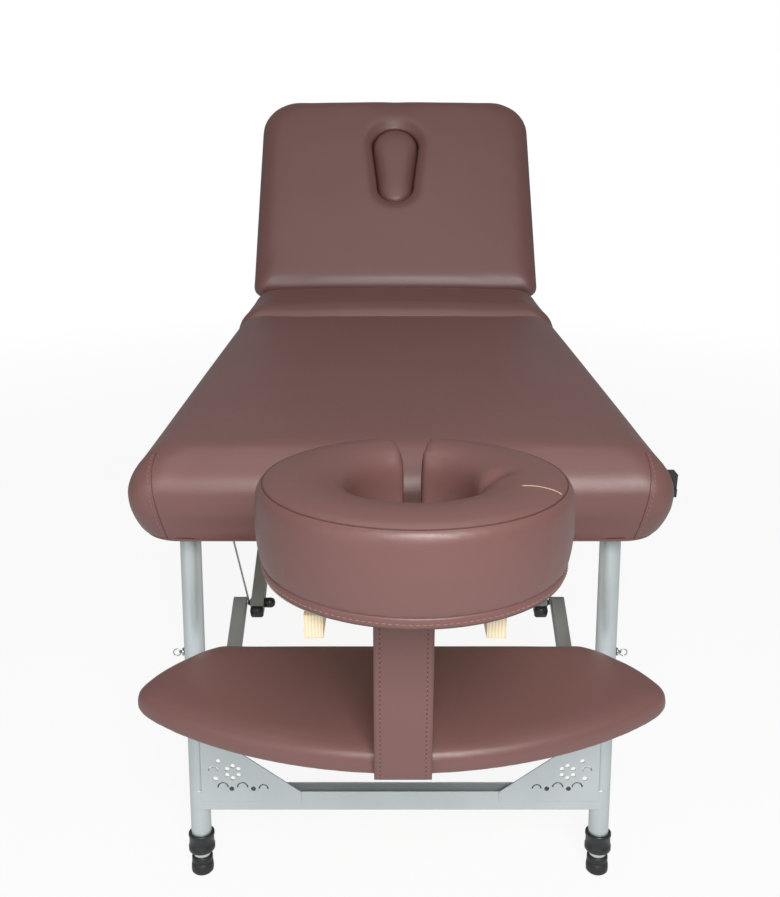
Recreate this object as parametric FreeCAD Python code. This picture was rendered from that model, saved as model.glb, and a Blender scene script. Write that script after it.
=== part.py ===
import FreeCAD, Part
import math
import os

# Folding massage table, in millimetres. +Z is up, +Y runs from the face cradle to the backrest.
# The origin is on the floor under the middle of the object.
V = FreeCAD.Vector
X_AXIS = V(1, 0, 0)
Y_AXIS = V(0, 1, 0)

# Lying surface
HALF_LENGTH = 930.0
WIDTH = 700.0
TOP_Z = 620.0
BOTTOM_Z = 500.5
FOLD_Z = 500.0
DECK_Z = 550.0
DECK_THICK = 6.0
NEAR_END_Y = -770.0
FOLD_Y = NEAR_END_Y + HALF_LENGTH
FOLD_GAP = 0.5
CUSHION_EDGE_R = 34.0
NEAR_CORNER_R = 62.0
INNER_CORNER_R = 56.0
FOLD_CORNER_R = 26.0
STRIP_EDGE_R = 25.0
SEAT_STRIP = 300.0

# Frame rails
RAIL_X = 318.0
RAIL_WIDE = 22.0
RAIL_INSET = 4.0
END_RAIL = 24.0
MID_RAIL_S = 714.0
MID_RAIL_WIDE = 40.0
MID_RAIL_THICK = 12.0

# Legs: s is measured from a half's outer end towards the fold
PIVOT_S = 55.0
PIVOT_Z = 522.0
FOOT_S = -35.0
LEG_X = {"near": 281.0, "far": 240.0}
LEG_R = 14.0
LEG_BORE_R = 12.06
INNER_R = 12.0
INNER_BORE_R = 10.4
LEG_END = 484.0
COLLAR_R = 18.0
COLLAR_LONG = 27.0
INNER_TOP = 110.0
INNER_END = 514.0
FOOT_R = 15.5
FOOT_TOP = 501.0
PIN_AT = 198.0
PIN_R = 3.0
PIN_HEAD_R = 6.5
PIVOT_PIN_R = 5.0
CROSSBAR_AT = 410.0
CROSSBAR_HIGH = 27.0
CROSSBAR_FRONT = 16.0
CROSSBAR_BACK = -4.0
SHEET = 2.0
GUSSET_LONG = 138.0
GUSSET_HIGH = 92.0

# Folding braces
STRUT_WIDE = 20.0
STRUT_HIGH = 18.0
STRUT_PIVOT_AT = 337.0
STRUT_BEHIND = 16.0
STRUT_TAIL = 12.0
CAP_LONG = 11.0
UPPER_PIVOT_S = 700.0
LOWER_X_IN = 30.0
UPPER_X_IN = 58.0
KNOB_R = 8.0
KNEE_GAP = 2.0
BOLT_R = 4.0
RUN_CLEAR = 0.06
CABLE_R = 1.5
CABLE_X_IN = 44.0
CABLE_S = 76.0
CABLE_Z = 516.0

# Fold hinges
HINGE_X = (-240.0, 0.0, 240.0)
HINGE_HALF = 30.0
HINGE_PIN_R = 1.5
KNUCKLE_R = 3.0
LEAF_THICK = 0.5

# Backrest
BACK_HINGE_S = 622.0
BACK_HINGE_Z = 606.0
BACK_ANGLE = 50.0
BACK_LONG = 590.0
BACK_WIDE = 718.0
BACK_CORNER_R = 92.0
BACK_LOW_CORNER_R = 20.0
BACK_EDGE_R = 25.0
BACK_BOARD = 8.0
BACK_BOARD_INSET = 40.0
LIFT_HINGE_X = (-250.0, 250.0)
LIFT_KNUCKLE_R = 6.0
LIFT_PIN_R = 3.0
BACK_GAP = 7.0
HOLE_TOP_R = 64.0
HOLE_LOW_R = 46.0
HOLE_LOW_AT = 313.0
HOLE_TOP_AT = 447.0
PLUG_GAP = 2.0

# Face cradle and arm shelf, d is the distance out from the near end
ARM_X = 85.0
ARM_THICK = 18.0
ROD_R = 9.0
ROD_Z = 525.0
PAD_X = 10.0
PAD_D = 233.0
PAD_WIDE = 310.0
PAD_DEEP = 278.0
PAD_LOW = 600.0
PAD_HIGH = 690.0
PAD_EDGE_R = 22.0
FACE_HOLE_A = 62.0
FACE_HOLE_B = 75.0
LOBE_GAP = 22.0
PLATFORM_THICK = 12.0
PLATFORM_INSET = 14.0
TILT_D = 130.0
TILT_Z = 572.0
CHEEK_THICK = 12.0
FRONT_DOWEL = (250.0, 563.0)
REAR_DOWEL = (30.0, 526.0)
DOWEL_R = 8.0
SLING_WIDE = 62.0
SLING_THICK = 3.0
SHELF_WIDE = 625.0
SHELF_TOP = 373.0
SHELF_LOW = 343.0
SHELF_BOARD = 7.0
SHELF_EDGE_R = 9.0

# Latches and handles
LATCHES = (("front", 62.0, 550.0), ("rear", 560.0, 536.0))
LATCH_PIN_R = 2.0
HANDLE_S = (360.0, 520.0)
HANDLE_Z = (514.0, 544.0)
HANDLE_THICK = 5.0

LEAN = math.atan2(PIVOT_S - FOOT_S, PIVOT_Z)
os.makedirs("parts", exist_ok=True)


def block(x0, x1, y0, y1, z0, z1):
    return Part.makeBox(x1 - x0, y1 - y0, z1 - z0, V(x0, y0, z0))


def rod(start, end, radius):
    along = end - start
    return Part.makeCylinder(radius, along.Length, start, along)


def pipe(start, end, outer, inner):
    return rod(start, end, outer).cut(rod(start, end, inner))


def group(solids):
    return Part.makeCompound(solids)


def save(name, shape):
    shape.exportStep("parts/" + name + ".step")


def upright_edges(shape, y):
    """The upright edges of a shape at one end."""
    boxes = [(e, e.BoundBox) for e in shape.Edges]
    return [e for e, b in boxes if b.ZLength > 1 and b.YMin > y - 1 and b.YMax < y + 1]


def top_edges(shape, z):
    return [e for e in shape.Edges if e.BoundBox.ZMin > z - 0.01]


def rounded_slab(x_half, y0, y1, z0, z1, first_r, last_r, edge_r):
    """A slab with rounded upright corners, first_r at y0 and last_r at y1, and a rolled top edge."""
    slab = block(-x_half, x_half, y0, y1, z0, z1)
    slab = slab.makeFillet(first_r, upright_edges(slab, y0))
    slab = slab.makeFillet(last_r, upright_edges(slab, y1))
    return slab.makeFillet(edge_r, top_edges(slab, z1))


def round_ended(x_half, y0, y1, z0, z1, corner_r):
    """A block with its two upright corners at y0 rounded."""
    slab = block(-x_half, x_half, y0, y1, z0, z1)
    return slab.makeFillet(corner_r, upright_edges(slab, y0))


def near_y(s):
    return NEAR_END_Y + s


def placed(shape, side):
    """A shape made for the near half, kept there or mirrored over the fold for the far half."""
    if side == "near":
        return shape
    return shape.mirror(V(0, FOLD_Y, 0), Y_AXIS)


def on_leg(x, along, out=0.0):
    """A point beside a near leg: along it from its pivot, and out from its front face."""
    s = PIVOT_S - along * math.sin(LEAN) - out * math.cos(LEAN)
    z = PIVOT_Z - along * math.cos(LEAN) + out * math.sin(LEAN)
    return V(x, near_y(s), z)


def leg_block(x0, x1, along0, along1, out0, out1):
    """A box lined up with the leaning near legs."""
    corners = [(along0, out0), (along1, out0), (along1, out1), (along0, out1)]
    points = [on_leg(x0, along, out) for along, out in corners]
    face = Part.Face(Part.makePolygon(points + points[:1]))
    return face.extrude(V(x1 - x0, 0, 0))


# A brace stands straight from the leg to the frame. Its knee is placed so that the brace lies flat
# under the deck when the leg is folded, with the lower strut turned back over the leg.
STRUT_FOOT = on_leg(0, STRUT_PIVOT_AT, -STRUT_BEHIND)
UPPER_PIVOT = V(0, near_y(UPPER_PIVOT_S), PIVOT_Z + STRUT_BEHIND)
BRACE = UPPER_PIVOT - STRUT_FOOT
FOLDED_SPAN = UPPER_PIVOT_S - PIVOT_S - STRUT_PIVOT_AT
LOWER_LONG = (BRACE.Length - FOLDED_SPAN) / 2
KNEE = STRUT_FOOT + BRACE * (LOWER_LONG / BRACE.Length)


def strut_bar(start, end, x_mid):
    """A square bar between two points in a brace's plane."""
    across = X_AXIS.cross((end - start).normalize()) * (STRUT_HIGH / 2)
    shift = V(x_mid - STRUT_WIDE / 2, 0, 0)
    corners = [start + across, end + across, end - across, start - across]
    wire = Part.makePolygon([p + shift for p in corners + corners[:1]])
    return Part.Face(wire).extrude(V(STRUT_WIDE, 0, 0))


def strut(start, x_mid, tail):
    """A round-ended strut from its pivot to the knee or past it by a tail, bored for its two bolts."""
    along = (KNEE - start).normalize()
    x0, x1 = x_mid - STRUT_WIDE / 2, x_mid + STRUT_WIDE / 2
    bar = strut_bar(start, KNEE + along * tail, x_mid)
    for point in (start, KNEE):
        bar = bar.fuse(x_rod(point, x0, x1, STRUT_HIGH / 2))
    bar = bar.cut(x_rod(start, x0 - 1, x1 + 1, BOLT_R + RUN_CLEAR))
    return bar.cut(x_rod(KNEE, x0 - 1, x1 + 1, BOLT_R)).removeSplitter()


def x_rod(point, x0, x1, radius):
    return Part.makeCylinder(radius, x1 - x0, V(x0, point.y, point.z), X_AXIS)


def x_rod_sided(point, sign, x_near, x_far, radius):
    return x_rod(point, min(sign * x_near, sign * x_far), max(sign * x_near, sign * x_far), radius)


def gusset(sign, leg_x):
    """A pierced corner plate: a flower of six petals with scrolls and dots round it."""
    outer_x = leg_x - 6
    inner_x = outer_x - GUSSET_LONG
    low = CROSSBAR_AT
    front = CROSSBAR_FRONT
    high = low - GUSSET_HIGH
    outline = [(outer_x, low), (outer_x, high), (outer_x - 26, high), (inner_x, low - 14), (inner_x, low)]
    points = [on_leg(sign * x, a, front) for x, a in outline]
    out = on_leg(0, 0, front + SHEET) - on_leg(0, 0, front)
    plate = Part.Face(Part.makePolygon(points + points[:1])).extrude(out)

    def pierce(shape_face):
        return shape_face.extrude(out * 3).translated(out * -1)

    def at(u, v):
        return on_leg(sign * (outer_x - u), low - v, front)

    flower_u, flower_v = 44.0, 44.0
    for k in range(6):
        turn = math.radians(60 * k + 30)
        middle = at(flower_u + 9 * math.cos(turn), flower_v + 9 * math.sin(turn))
        plate = plate.cut(pierce(Part.Face(Part.Wire(Part.makeCircle(3.1, middle, out)))))
    dots = [(20.0, 34.0, 3.4), (42.0, 19.0, 3.4), (72.0, 19.0, 3.4), (24.0, 60.0, 3.0)]
    for u, v, radius in dots:
        plate = plate.cut(pierce(Part.Face(Part.Wire(Part.makeCircle(radius, at(u, v), out)))))
    scrolls = [(30.0, 21.0, 8.0), (57.0, 21.0, 8.0), (86.0, 19.0, 7.0), (17.0, 46.0, 7.0)]
    for u, v, radius in scrolls:
        ends = [at(u + radius, v), at(u, v + radius), at(u - radius, v)]
        inner = [at(u - radius + 1.8, v), at(u, v + radius - 1.8), at(u + radius - 1.8, v)]
        wire = Part.Wire([
            Part.Arc(*ends).toShape(),
            Part.LineSegment(ends[2], inner[0]).toShape(),
            Part.Arc(*inner).toShape(),
            Part.LineSegment(inner[2], ends[0]).toShape(),
        ])
        plate = plate.cut(pierce(Part.Face(wire)))
    return plate


def make_frame(side):
    """Timber rails, brackets and fold hinges of one half."""
    y0 = near_y(RAIL_INSET)
    y1 = near_y(HALF_LENGTH - RAIL_INSET)
    rail_low = BOTTOM_Z + 0.5
    rail_out = RAIL_X + RAIL_WIDE
    rails = []
    for x0, x1 in ((-rail_out, -RAIL_X), (RAIL_X, rail_out)):
        rails.append(block(x0, x1, y0, y1, rail_low, DECK_Z))
    end_rail = block(-RAIL_X, RAIL_X, y0, y0 + END_RAIL, rail_low, DECK_Z)
    if side == "near":
        for s in (-1, 1):
            mouth = V(s * ARM_X, y0 - 1, ROD_Z)
            end_rail = end_rail.cut(Part.makeCylinder(ROD_R + RUN_CLEAR, END_RAIL + 2, mouth, Y_AXIS))
    rails.append(end_rail)
    rails.append(block(-RAIL_X, RAIL_X, y1 - END_RAIL, y1, rail_low, DECK_Z))
    middle = near_y(MID_RAIL_S)
    rails.append(block(-RAIL_X, RAIL_X, middle, middle + MID_RAIL_WIDE, DECK_Z - MID_RAIL_THICK, DECK_Z))
    if side == "near":
        inside = round_ended(rail_out, y0, y1, rail_low, DECK_Z, INNER_CORNER_R)
        rails = [rail.common(inside) for rail in rails]
    save(side + "_frame_rails", placed(group(rails), side))

    leg_x = LEG_X[side]
    brackets = []
    leg_pivot = on_leg(0, 0)
    for s in (-1, 1):
        plate_x = s * (leg_x + LEG_R + 1)
        low_x, high_x = sorted((plate_x, plate_x + s * 4))
        y0, y1 = near_y(RAIL_INSET + END_RAIL), leg_pivot.y + 14
        plate = block(low_x, high_x, y0, y1, PIVOT_Z - 14, PIVOT_Z + 16)
        pin = x_rod_sided(leg_pivot, s, leg_x - LEG_R - 3, leg_x + LEG_R + 1, PIVOT_PIN_R)
        brackets.append(plate.fuse(pin).removeSplitter())
        ear_x = s * (leg_x - UPPER_X_IN - STRUT_WIDE / 2 - 1)
        low_x, high_x = sorted((ear_x, ear_x - s * 4))
        ear_low = UPPER_PIVOT.z - STRUT_HIGH / 2
        ear_end = middle + MID_RAIL_WIDE - 4
        ear = block(low_x, high_x, UPPER_PIVOT.y - 13, ear_end, ear_low, DECK_Z - MID_RAIL_THICK)
        ear = ear.fuse(block(low_x, high_x, UPPER_PIVOT.y - 13, middle - 1, ear_low, UPPER_PIVOT.z + 9))
        strut_x = leg_x - UPPER_X_IN
        reach = STRUT_WIDE / 2 + 1
        pin = x_rod_sided(UPPER_PIVOT, s, strut_x - reach, strut_x + reach, BOLT_R)
        brackets.append(ear.fuse(pin).removeSplitter())
    save(side + "_pivot_brackets", placed(group(brackets), side))


def make_fold_hinges():
    """Three butt hinges on the fold line: knuckles about a pin, leaves under the hinge rails."""
    line = V(0, FOLD_Y, FOLD_Z)
    near_leaves = []
    far_leaves = []
    for x in HINGE_X:
        pin = x_rod(line, x - HINGE_HALF, x + HINGE_HALF, HINGE_PIN_R)
        knuckle = x_rod(line, x - HINGE_HALF, x - 0.5, KNUCKLE_R)
        leaf = block(x - HINGE_HALF, x - 0.5, FOLD_Y - 26, FOLD_Y, BOTTOM_Z, BOTTOM_Z + LEAF_THICK)
        near_leaves.append(knuckle.fuse(leaf).fuse(pin).removeSplitter())
        knuckle = x_rod(line, x + 0.5, x + HINGE_HALF, KNUCKLE_R)
        leaf = block(x + 0.5, x + HINGE_HALF, FOLD_Y, FOLD_Y + 26, BOTTOM_Z, BOTTOM_Z + LEAF_THICK)
        bore = x_rod(line, x, x + HINGE_HALF + 1, HINGE_PIN_R + RUN_CLEAR)
        far_leaves.append(knuckle.fuse(leaf).cut(bore).removeSplitter())
    save("near_fold_hinges", group(near_leaves))
    save("far_fold_hinges", group(far_leaves))


def hinge_notches(shape):
    """Room in a padded skirt for the fold hinges."""
    for x in HINGE_X:
        low, high = x - HINGE_HALF - 2, x + HINGE_HALF + 2
        shape = shape.cut(block(low, high, FOLD_Y - 8, FOLD_Y + 8, BOTTOM_Z - 1, BOTTOM_Z + 5))
    return shape


def make_lying_surface():
    """Padded tops over thin decks: one cushion on the near half, a short fixed strip on the far half."""
    half = WIDTH / 2
    rail_out = RAIL_X + RAIL_WIDE
    deck_top = DECK_Z + DECK_THICK
    last = near_y(HALF_LENGTH - FOLD_GAP)
    inner_end = near_y(HALF_LENGTH - RAIL_INSET)
    inner_start = near_y(RAIL_INSET)
    radii = (NEAR_CORNER_R, FOLD_CORNER_R, CUSHION_EDGE_R)
    cushion = rounded_slab(half, NEAR_END_Y, last, BOTTOM_Z, TOP_Z, *radii)
    cushion = cushion.cut(round_ended(rail_out, inner_start, inner_end, 0, deck_top, INNER_CORNER_R))
    for s in (-1, 1):
        mouth = V(s * ARM_X, NEAR_END_Y - 1, ROD_Z)
        cushion = cushion.cut(Part.makeCylinder(ROD_R + 1, RAIL_INSET + 2, mouth, Y_AXIS))
    save("near_cushion", hinge_notches(cushion))
    save("near_deck", round_ended(rail_out, inner_start, inner_end, DECK_Z, deck_top, INNER_CORNER_R))

    strip_start = near_y(HALF_LENGTH - SEAT_STRIP)
    radii = (FOLD_CORNER_R, FOLD_CORNER_R, STRIP_EDGE_R)
    strip = rounded_slab(half, strip_start, last, BOTTOM_Z, TOP_Z, *radii)
    strip = strip.cut(block(-rail_out, rail_out, strip_start - 1, inner_end, 0, deck_top))
    save("seat_strip_cushion", hinge_notches(placed(strip, "far")))
    deck = block(-rail_out, rail_out, near_y(BACK_HINGE_S + 1), inner_end, DECK_Z, deck_top)
    save("far_deck", placed(deck, "far"))


def make_legs(side):
    """One pair of legs: tubes with a crossbar and pierced corner plates, sliding inner legs with feet."""
    leg_x = LEG_X[side]
    tubes = []
    collars = []
    bolts = []
    for sign, hand in ((-1, "left"), (1, "right")):
        x = sign * leg_x
        top, end = on_leg(x, -LEG_R), on_leg(x, LEG_END)
        tube = pipe(top, end, LEG_R, LEG_BORE_R)
        tube = tube.cut(x_rod(on_leg(0, 0), x - 20, x + 20, PIVOT_PIN_R + RUN_CLEAR))
        pin_line = on_leg(0, PIN_AT)
        tube = tube.cut(x_rod_sided(pin_line, sign, leg_x, leg_x + 20, PIN_R + RUN_CLEAR))
        tubes.append(tube)
        lug_in = leg_x - LOWER_X_IN + STRUT_WIDE / 2 + 1
        x0, x1 = sorted((sign * lug_in, sign * (leg_x - LEG_R + 1)))
        lug = leg_block(x0, x1, STRUT_PIVOT_AT - 12, STRUT_PIVOT_AT + 12, -STRUT_BEHIND - 8, -2)
        lug = lug.cut(rod(top, end, LEG_R))
        bolt = x_rod_sided(STRUT_FOOT, sign, lug_in + 2, lug_in - STRUT_WIDE - 3, BOLT_R)
        bolts.append(lug.fuse(bolt).removeSplitter())
        collar_top = on_leg(x, LEG_END - 18)
        collar_end = on_leg(x, LEG_END - 18 + COLLAR_LONG)
        collar = rod(collar_top, collar_end, COLLAR_R).cut(rod(collar_top, end, LEG_R))
        collars.append(collar.cut(rod(collar_top, collar_end, LEG_BORE_R)))
        inner = pipe(on_leg(x, INNER_TOP), on_leg(x, INNER_END), INNER_R, INNER_BORE_R)
        name = side + "_" + hand
        save(name + "_inner_leg", placed(inner, side))
        foot = rod(on_leg(x, FOOT_TOP), on_leg(x, FOOT_TOP + 60), FOOT_R)
        foot = foot.cut(rod(on_leg(x, FOOT_TOP), on_leg(x, INNER_END), INNER_R))
        foot = foot.cut(block(-500, 500, NEAR_END_Y - 200, NEAR_END_Y + 200, -100, 0))
        save(name + "_foot", placed(foot, side))
        pin = x_rod_sided(pin_line, sign, leg_x + INNER_R + 0.4, leg_x + LEG_R + 6, PIN_R)
        head = x_rod_sided(pin_line, sign, leg_x + LEG_R + 2, leg_x + LEG_R + 9, PIN_HEAD_R)
        save(name + "_lock_pin", placed(pin.fuse(head).removeSplitter(), side))
    save(side + "_leg_tubes", placed(group(tubes), side))
    save(side + "_leg_collars", placed(group(collars), side))
    save(side + "_leg_bolts", placed(group(bolts), side))

    front, back = CROSSBAR_FRONT, CROSSBAR_BACK
    low = CROSSBAR_AT + CROSSBAR_HIGH / 2
    high = CROSSBAR_AT - CROSSBAR_HIGH / 2
    bar = leg_block(-leg_x, leg_x, high, low, front - SHEET, front)
    bar = bar.fuse(leg_block(-leg_x, leg_x, low - SHEET, low, back, front))
    bar = bar.fuse(leg_block(-leg_x, leg_x, high - 3, low, back, back + SHEET)).removeSplitter()
    plates = []
    for sign in (-1, 1):
        leg = rod(on_leg(sign * leg_x, 0), on_leg(sign * leg_x, LEG_END), LEG_R)
        bar = bar.cut(leg)
        plates.append(gusset(sign, leg_x).cut(leg))
    save(side + "_crossbar", placed(bar, side))
    save(side + "_corner_plates", placed(group(plates), side))


def make_braces(side):
    """Two folding braces: lower struts on the legs, upper ones on the frame, knee knobs, stay cables."""
    leg_x = LEG_X[side]
    lower = []
    upper = []
    knobs = []
    cables = []
    for sign in (-1, 1):
        lower.append(strut(STRUT_FOOT, sign * (leg_x - LOWER_X_IN), 0))
        upper.append(strut(UPPER_PIVOT, sign * (leg_x - UPPER_X_IN), STRUT_TAIL))
        inner_face = leg_x - UPPER_X_IN - STRUT_WIDE / 2
        outer_end = leg_x - LOWER_X_IN - STRUT_WIDE / 2 - KNEE_GAP
        bolt = x_rod_sided(KNEE, sign, outer_end, inner_face - 4, BOLT_R)
        knob = x_rod_sided(KNEE, sign, inner_face, inner_face - 17, KNOB_R)
        knobs.append(bolt.fuse(knob).removeSplitter())
        along = (KNEE - UPPER_PIVOT).normalize()
        cap_start = KNEE + along * STRUT_TAIL
        knobs.append(strut_bar(cap_start, cap_start + along * CAP_LONG, sign * (leg_x - UPPER_X_IN)))
        x = sign * (leg_x - CABLE_X_IN)
        anchor = V(x, near_y(CABLE_S), CABLE_Z)
        loop = V(x, KNEE.y, KNEE.z)
        cables.append(rod(anchor, loop + (anchor - loop).normalize() * 6, CABLE_R))
    save(side + "_lower_struts", placed(group(lower), side))
    save(side + "_upper_struts", placed(group(upper), side))
    save(side + "_knee_knobs", placed(group(knobs), side))
    save(side + "_stay_cables", placed(group(cables), side))


def far_y(s):
    return FOLD_Y + HALF_LENGTH - s


def key_shape(low_r, top_r, z0, z1):
    """The breathing hole's outline: two rounds of different size, joined by straight sides."""
    centre = far_y(BACK_HINGE_S)
    low_y, top_y = centre + HOLE_LOW_AT, centre + HOLE_TOP_AT
    tilt = math.asin((top_r - low_r) / (top_y - low_y))
    c, s = math.cos(tilt), math.sin(tilt)
    right_low, right_top = V(low_r * c, low_y - low_r * s, z0), V(top_r * c, top_y - top_r * s, z0)
    left_low, left_top = V(-right_low.x, right_low.y, z0), V(-right_top.x, right_top.y, z0)
    wire = Part.Wire([
        Part.LineSegment(right_low, right_top).toShape(),
        Part.Arc(right_top, V(0, top_y + top_r, z0), left_top).toShape(),
        Part.LineSegment(left_top, left_low).toShape(),
        Part.Arc(left_low, V(0, low_y - low_r, z0), right_low).toShape(),
    ])
    return Part.Face(wire).extrude(V(0, 0, z1 - z0))


def raised(shape):
    """A backrest piece, drawn flat, turned up to its resting angle."""
    turned = shape.copy()
    turned.rotate(V(0, far_y(BACK_HINGE_S), BACK_HINGE_Z), X_AXIS, BACK_ANGLE)
    return turned


def make_backrest():
    """The lifting back: board, cushion with a breathing hole, its plug, and two lift hinges."""
    front = far_y(BACK_HINGE_S - BACK_GAP)
    end = front + BACK_LONG
    board_low = DECK_Z + 2
    board_top = board_low + BACK_BOARD
    radii = (BACK_LOW_CORNER_R, BACK_CORNER_R, BACK_EDGE_R)
    slab = rounded_slab(BACK_WIDE / 2, front, end, board_top, TOP_Z, *radii)
    hole = key_shape(HOLE_LOW_R, HOLE_TOP_R, board_low - 5, TOP_Z + 5)
    save("backrest_cushion", raised(slab.cut(hole)))
    board = block(-RAIL_X, RAIL_X, front + 1, end - BACK_BOARD_INSET, board_low, board_top)
    save("backrest_board", raised(board.cut(hole)))
    plug = key_shape(HOLE_LOW_R - PLUG_GAP, HOLE_TOP_R - PLUG_GAP, board_low, TOP_Z - 4)
    plug = plug.makeFillet(12.0, [e for e in plug.Edges if e.BoundBox.ZMin > TOP_Z - 5])
    save("breathing_hole_plug", raised(plug))

    pivot = V(0, far_y(BACK_HINGE_S), BACK_HINGE_Z)
    fixed = []
    moving = []
    for x in LIFT_HINGE_X:
        ear = block(x - 15, x - 0.5, pivot.y - 6, pivot.y - 3.5, DECK_Z + DECK_THICK, pivot.z)
        ear = ear.fuse(x_rod(pivot, x - 15, x - 0.5, LIFT_KNUCKLE_R))
        fixed.append(ear.fuse(x_rod(pivot, x - 15, x + 15, LIFT_PIN_R)).removeSplitter())
        arm = block(x + 0.5, x + 15, pivot.y + 4.0, front + 1, board_low, pivot.z)
        arm = arm.fuse(x_rod(pivot, x + 0.5, x + 15, LIFT_KNUCKLE_R))
        moving.append(arm.cut(x_rod(pivot, x, x + 16, LIFT_PIN_R + RUN_CLEAR)).removeSplitter())
    save("lift_hinge_plates", group(fixed))
    save("lift_hinge_arms", raised(group([m.cut(slab) for m in moving])))


def out_y(d):
    return NEAR_END_Y - d


def ellipse_face(x, a, b, d, z):
    """A flat oval about x, a across and b along the table."""
    centre = V(x, out_y(d), z)
    across, along = V(a, 0, 0), V(0, b, 0)
    ends = (across, along) if a >= b else (along, across * -1)
    return Part.Face(Part.Wire(Part.Ellipse(centre + ends[0], centre + ends[1], centre).toShape()))


def make_cradle():
    """The face cradle: rods and shaped arms for the end rail, a tilting platform and a crescent pad."""
    upper_side = [(14, 541), (60, 548), (100, 585), (160, 585), (322, 580)]
    lower_side = [(322, 556), (150, 548), (64, 511), (14, 511)]
    profile = upper_side + lower_side
    arms = []
    rods = []
    tilt = V(0, out_y(TILT_D), TILT_Z)
    for sign in (-1, 1):
        x0 = sign * ARM_X - ARM_THICK / 2
        points = [V(x0, out_y(d), z) for d, z in profile]
        arm = Part.Face(Part.makePolygon(points + points[:1])).extrude(V(ARM_THICK, 0, 0))
        shaft = rod(V(sign * ARM_X, out_y(48), ROD_Z), V(sign * ARM_X, near_y(160), ROD_Z), ROD_R)
        bolt = x_rod_sided(tilt, sign, ARM_X + ARM_THICK / 2 - 10, ARM_X + ARM_THICK / 2 + 27, BOLT_R)
        arms.append(arm.cut(shaft).cut(bolt))
        rods.append(shaft)
        rods.append(bolt)
    save("cradle_arms", group(arms))
    save("cradle_rods", group(rods))
    inside = ARM_X - ARM_THICK / 2
    dowels = [x_rod(V(0, out_y(d), z), -inside, inside, DOWEL_R) for d, z in (FRONT_DOWEL, REAR_DOWEL)]
    save("cradle_dowels", group(dowels))

    platform_low = PAD_LOW - PLATFORM_THICK
    a, b = PAD_WIDE / 2 - PLATFORM_INSET, PAD_DEEP / 2 - PLATFORM_INSET
    plate = ellipse_face(0, a, b, PAD_D, platform_low).extrude(V(0, 0, PLATFORM_THICK))
    cheek_in = ARM_X + ARM_THICK / 2 + 1
    cheek_out = cheek_in + CHEEK_THICK
    tail = block(-cheek_out, cheek_out, out_y(PAD_D - 28), out_y(TILT_D + 5), platform_low, PAD_LOW)
    behind = block(-cheek_in, cheek_in, out_y(TILT_D + 5), NEAR_END_Y, platform_low, PAD_LOW)
    plate = plate.cut(behind).fuse(tail)
    face_hole = ellipse_face(0, FACE_HOLE_A + 4, FACE_HOLE_B - 3, PAD_D - 5, platform_low - 1)
    plate = plate.cut(face_hole.extrude(V(0, 0, PLATFORM_THICK + 2)))
    for sign in (-1, 1):
        x0, x1 = sorted((sign * cheek_in, sign * cheek_out))
        cheek = block(x0, x1, tilt.y - 14, tilt.y + 14, TILT_Z - 12, PAD_LOW)
        plate = plate.fuse(cheek)
    plate = plate.cut(x_rod(tilt, -130, 130, BOLT_R + RUN_CLEAR)).removeSplitter()
    save("cradle_platform", plate)

    lever_x = cheek_out + 1
    lever = x_rod(tilt, lever_x, lever_x + 12, 9.0)
    lever = lever.fuse(block(lever_x, lever_x + 12, tilt.y, tilt.y + 62, TILT_Z - 6, TILT_Z + 6))
    save("tilt_lever", lever.cut(x_rod(tilt, lever_x - 1, lever_x + 13, BOLT_R + RUN_CLEAR)).removeSplitter())

    pad_tall = V(0, 0, PAD_HIGH - PAD_LOW)
    pad = ellipse_face(PAD_X, PAD_WIDE / 2, PAD_DEEP / 2, PAD_D, PAD_LOW).extrude(pad_tall)
    pad = pad.makeFillet(PAD_EDGE_R, top_edges(pad, PAD_HIGH))
    pad = pad.cut(ellipse_face(PAD_X, FACE_HOLE_A, FACE_HOLE_B, PAD_D - 5, PAD_LOW).extrude(pad_tall))
    slit = block(PAD_X - LOBE_GAP / 2, PAD_X + LOBE_GAP / 2, out_y(PAD_D - 40), out_y(0), PAD_LOW, PAD_HIGH)
    save("cradle_pad", pad.cut(slit))


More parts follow.
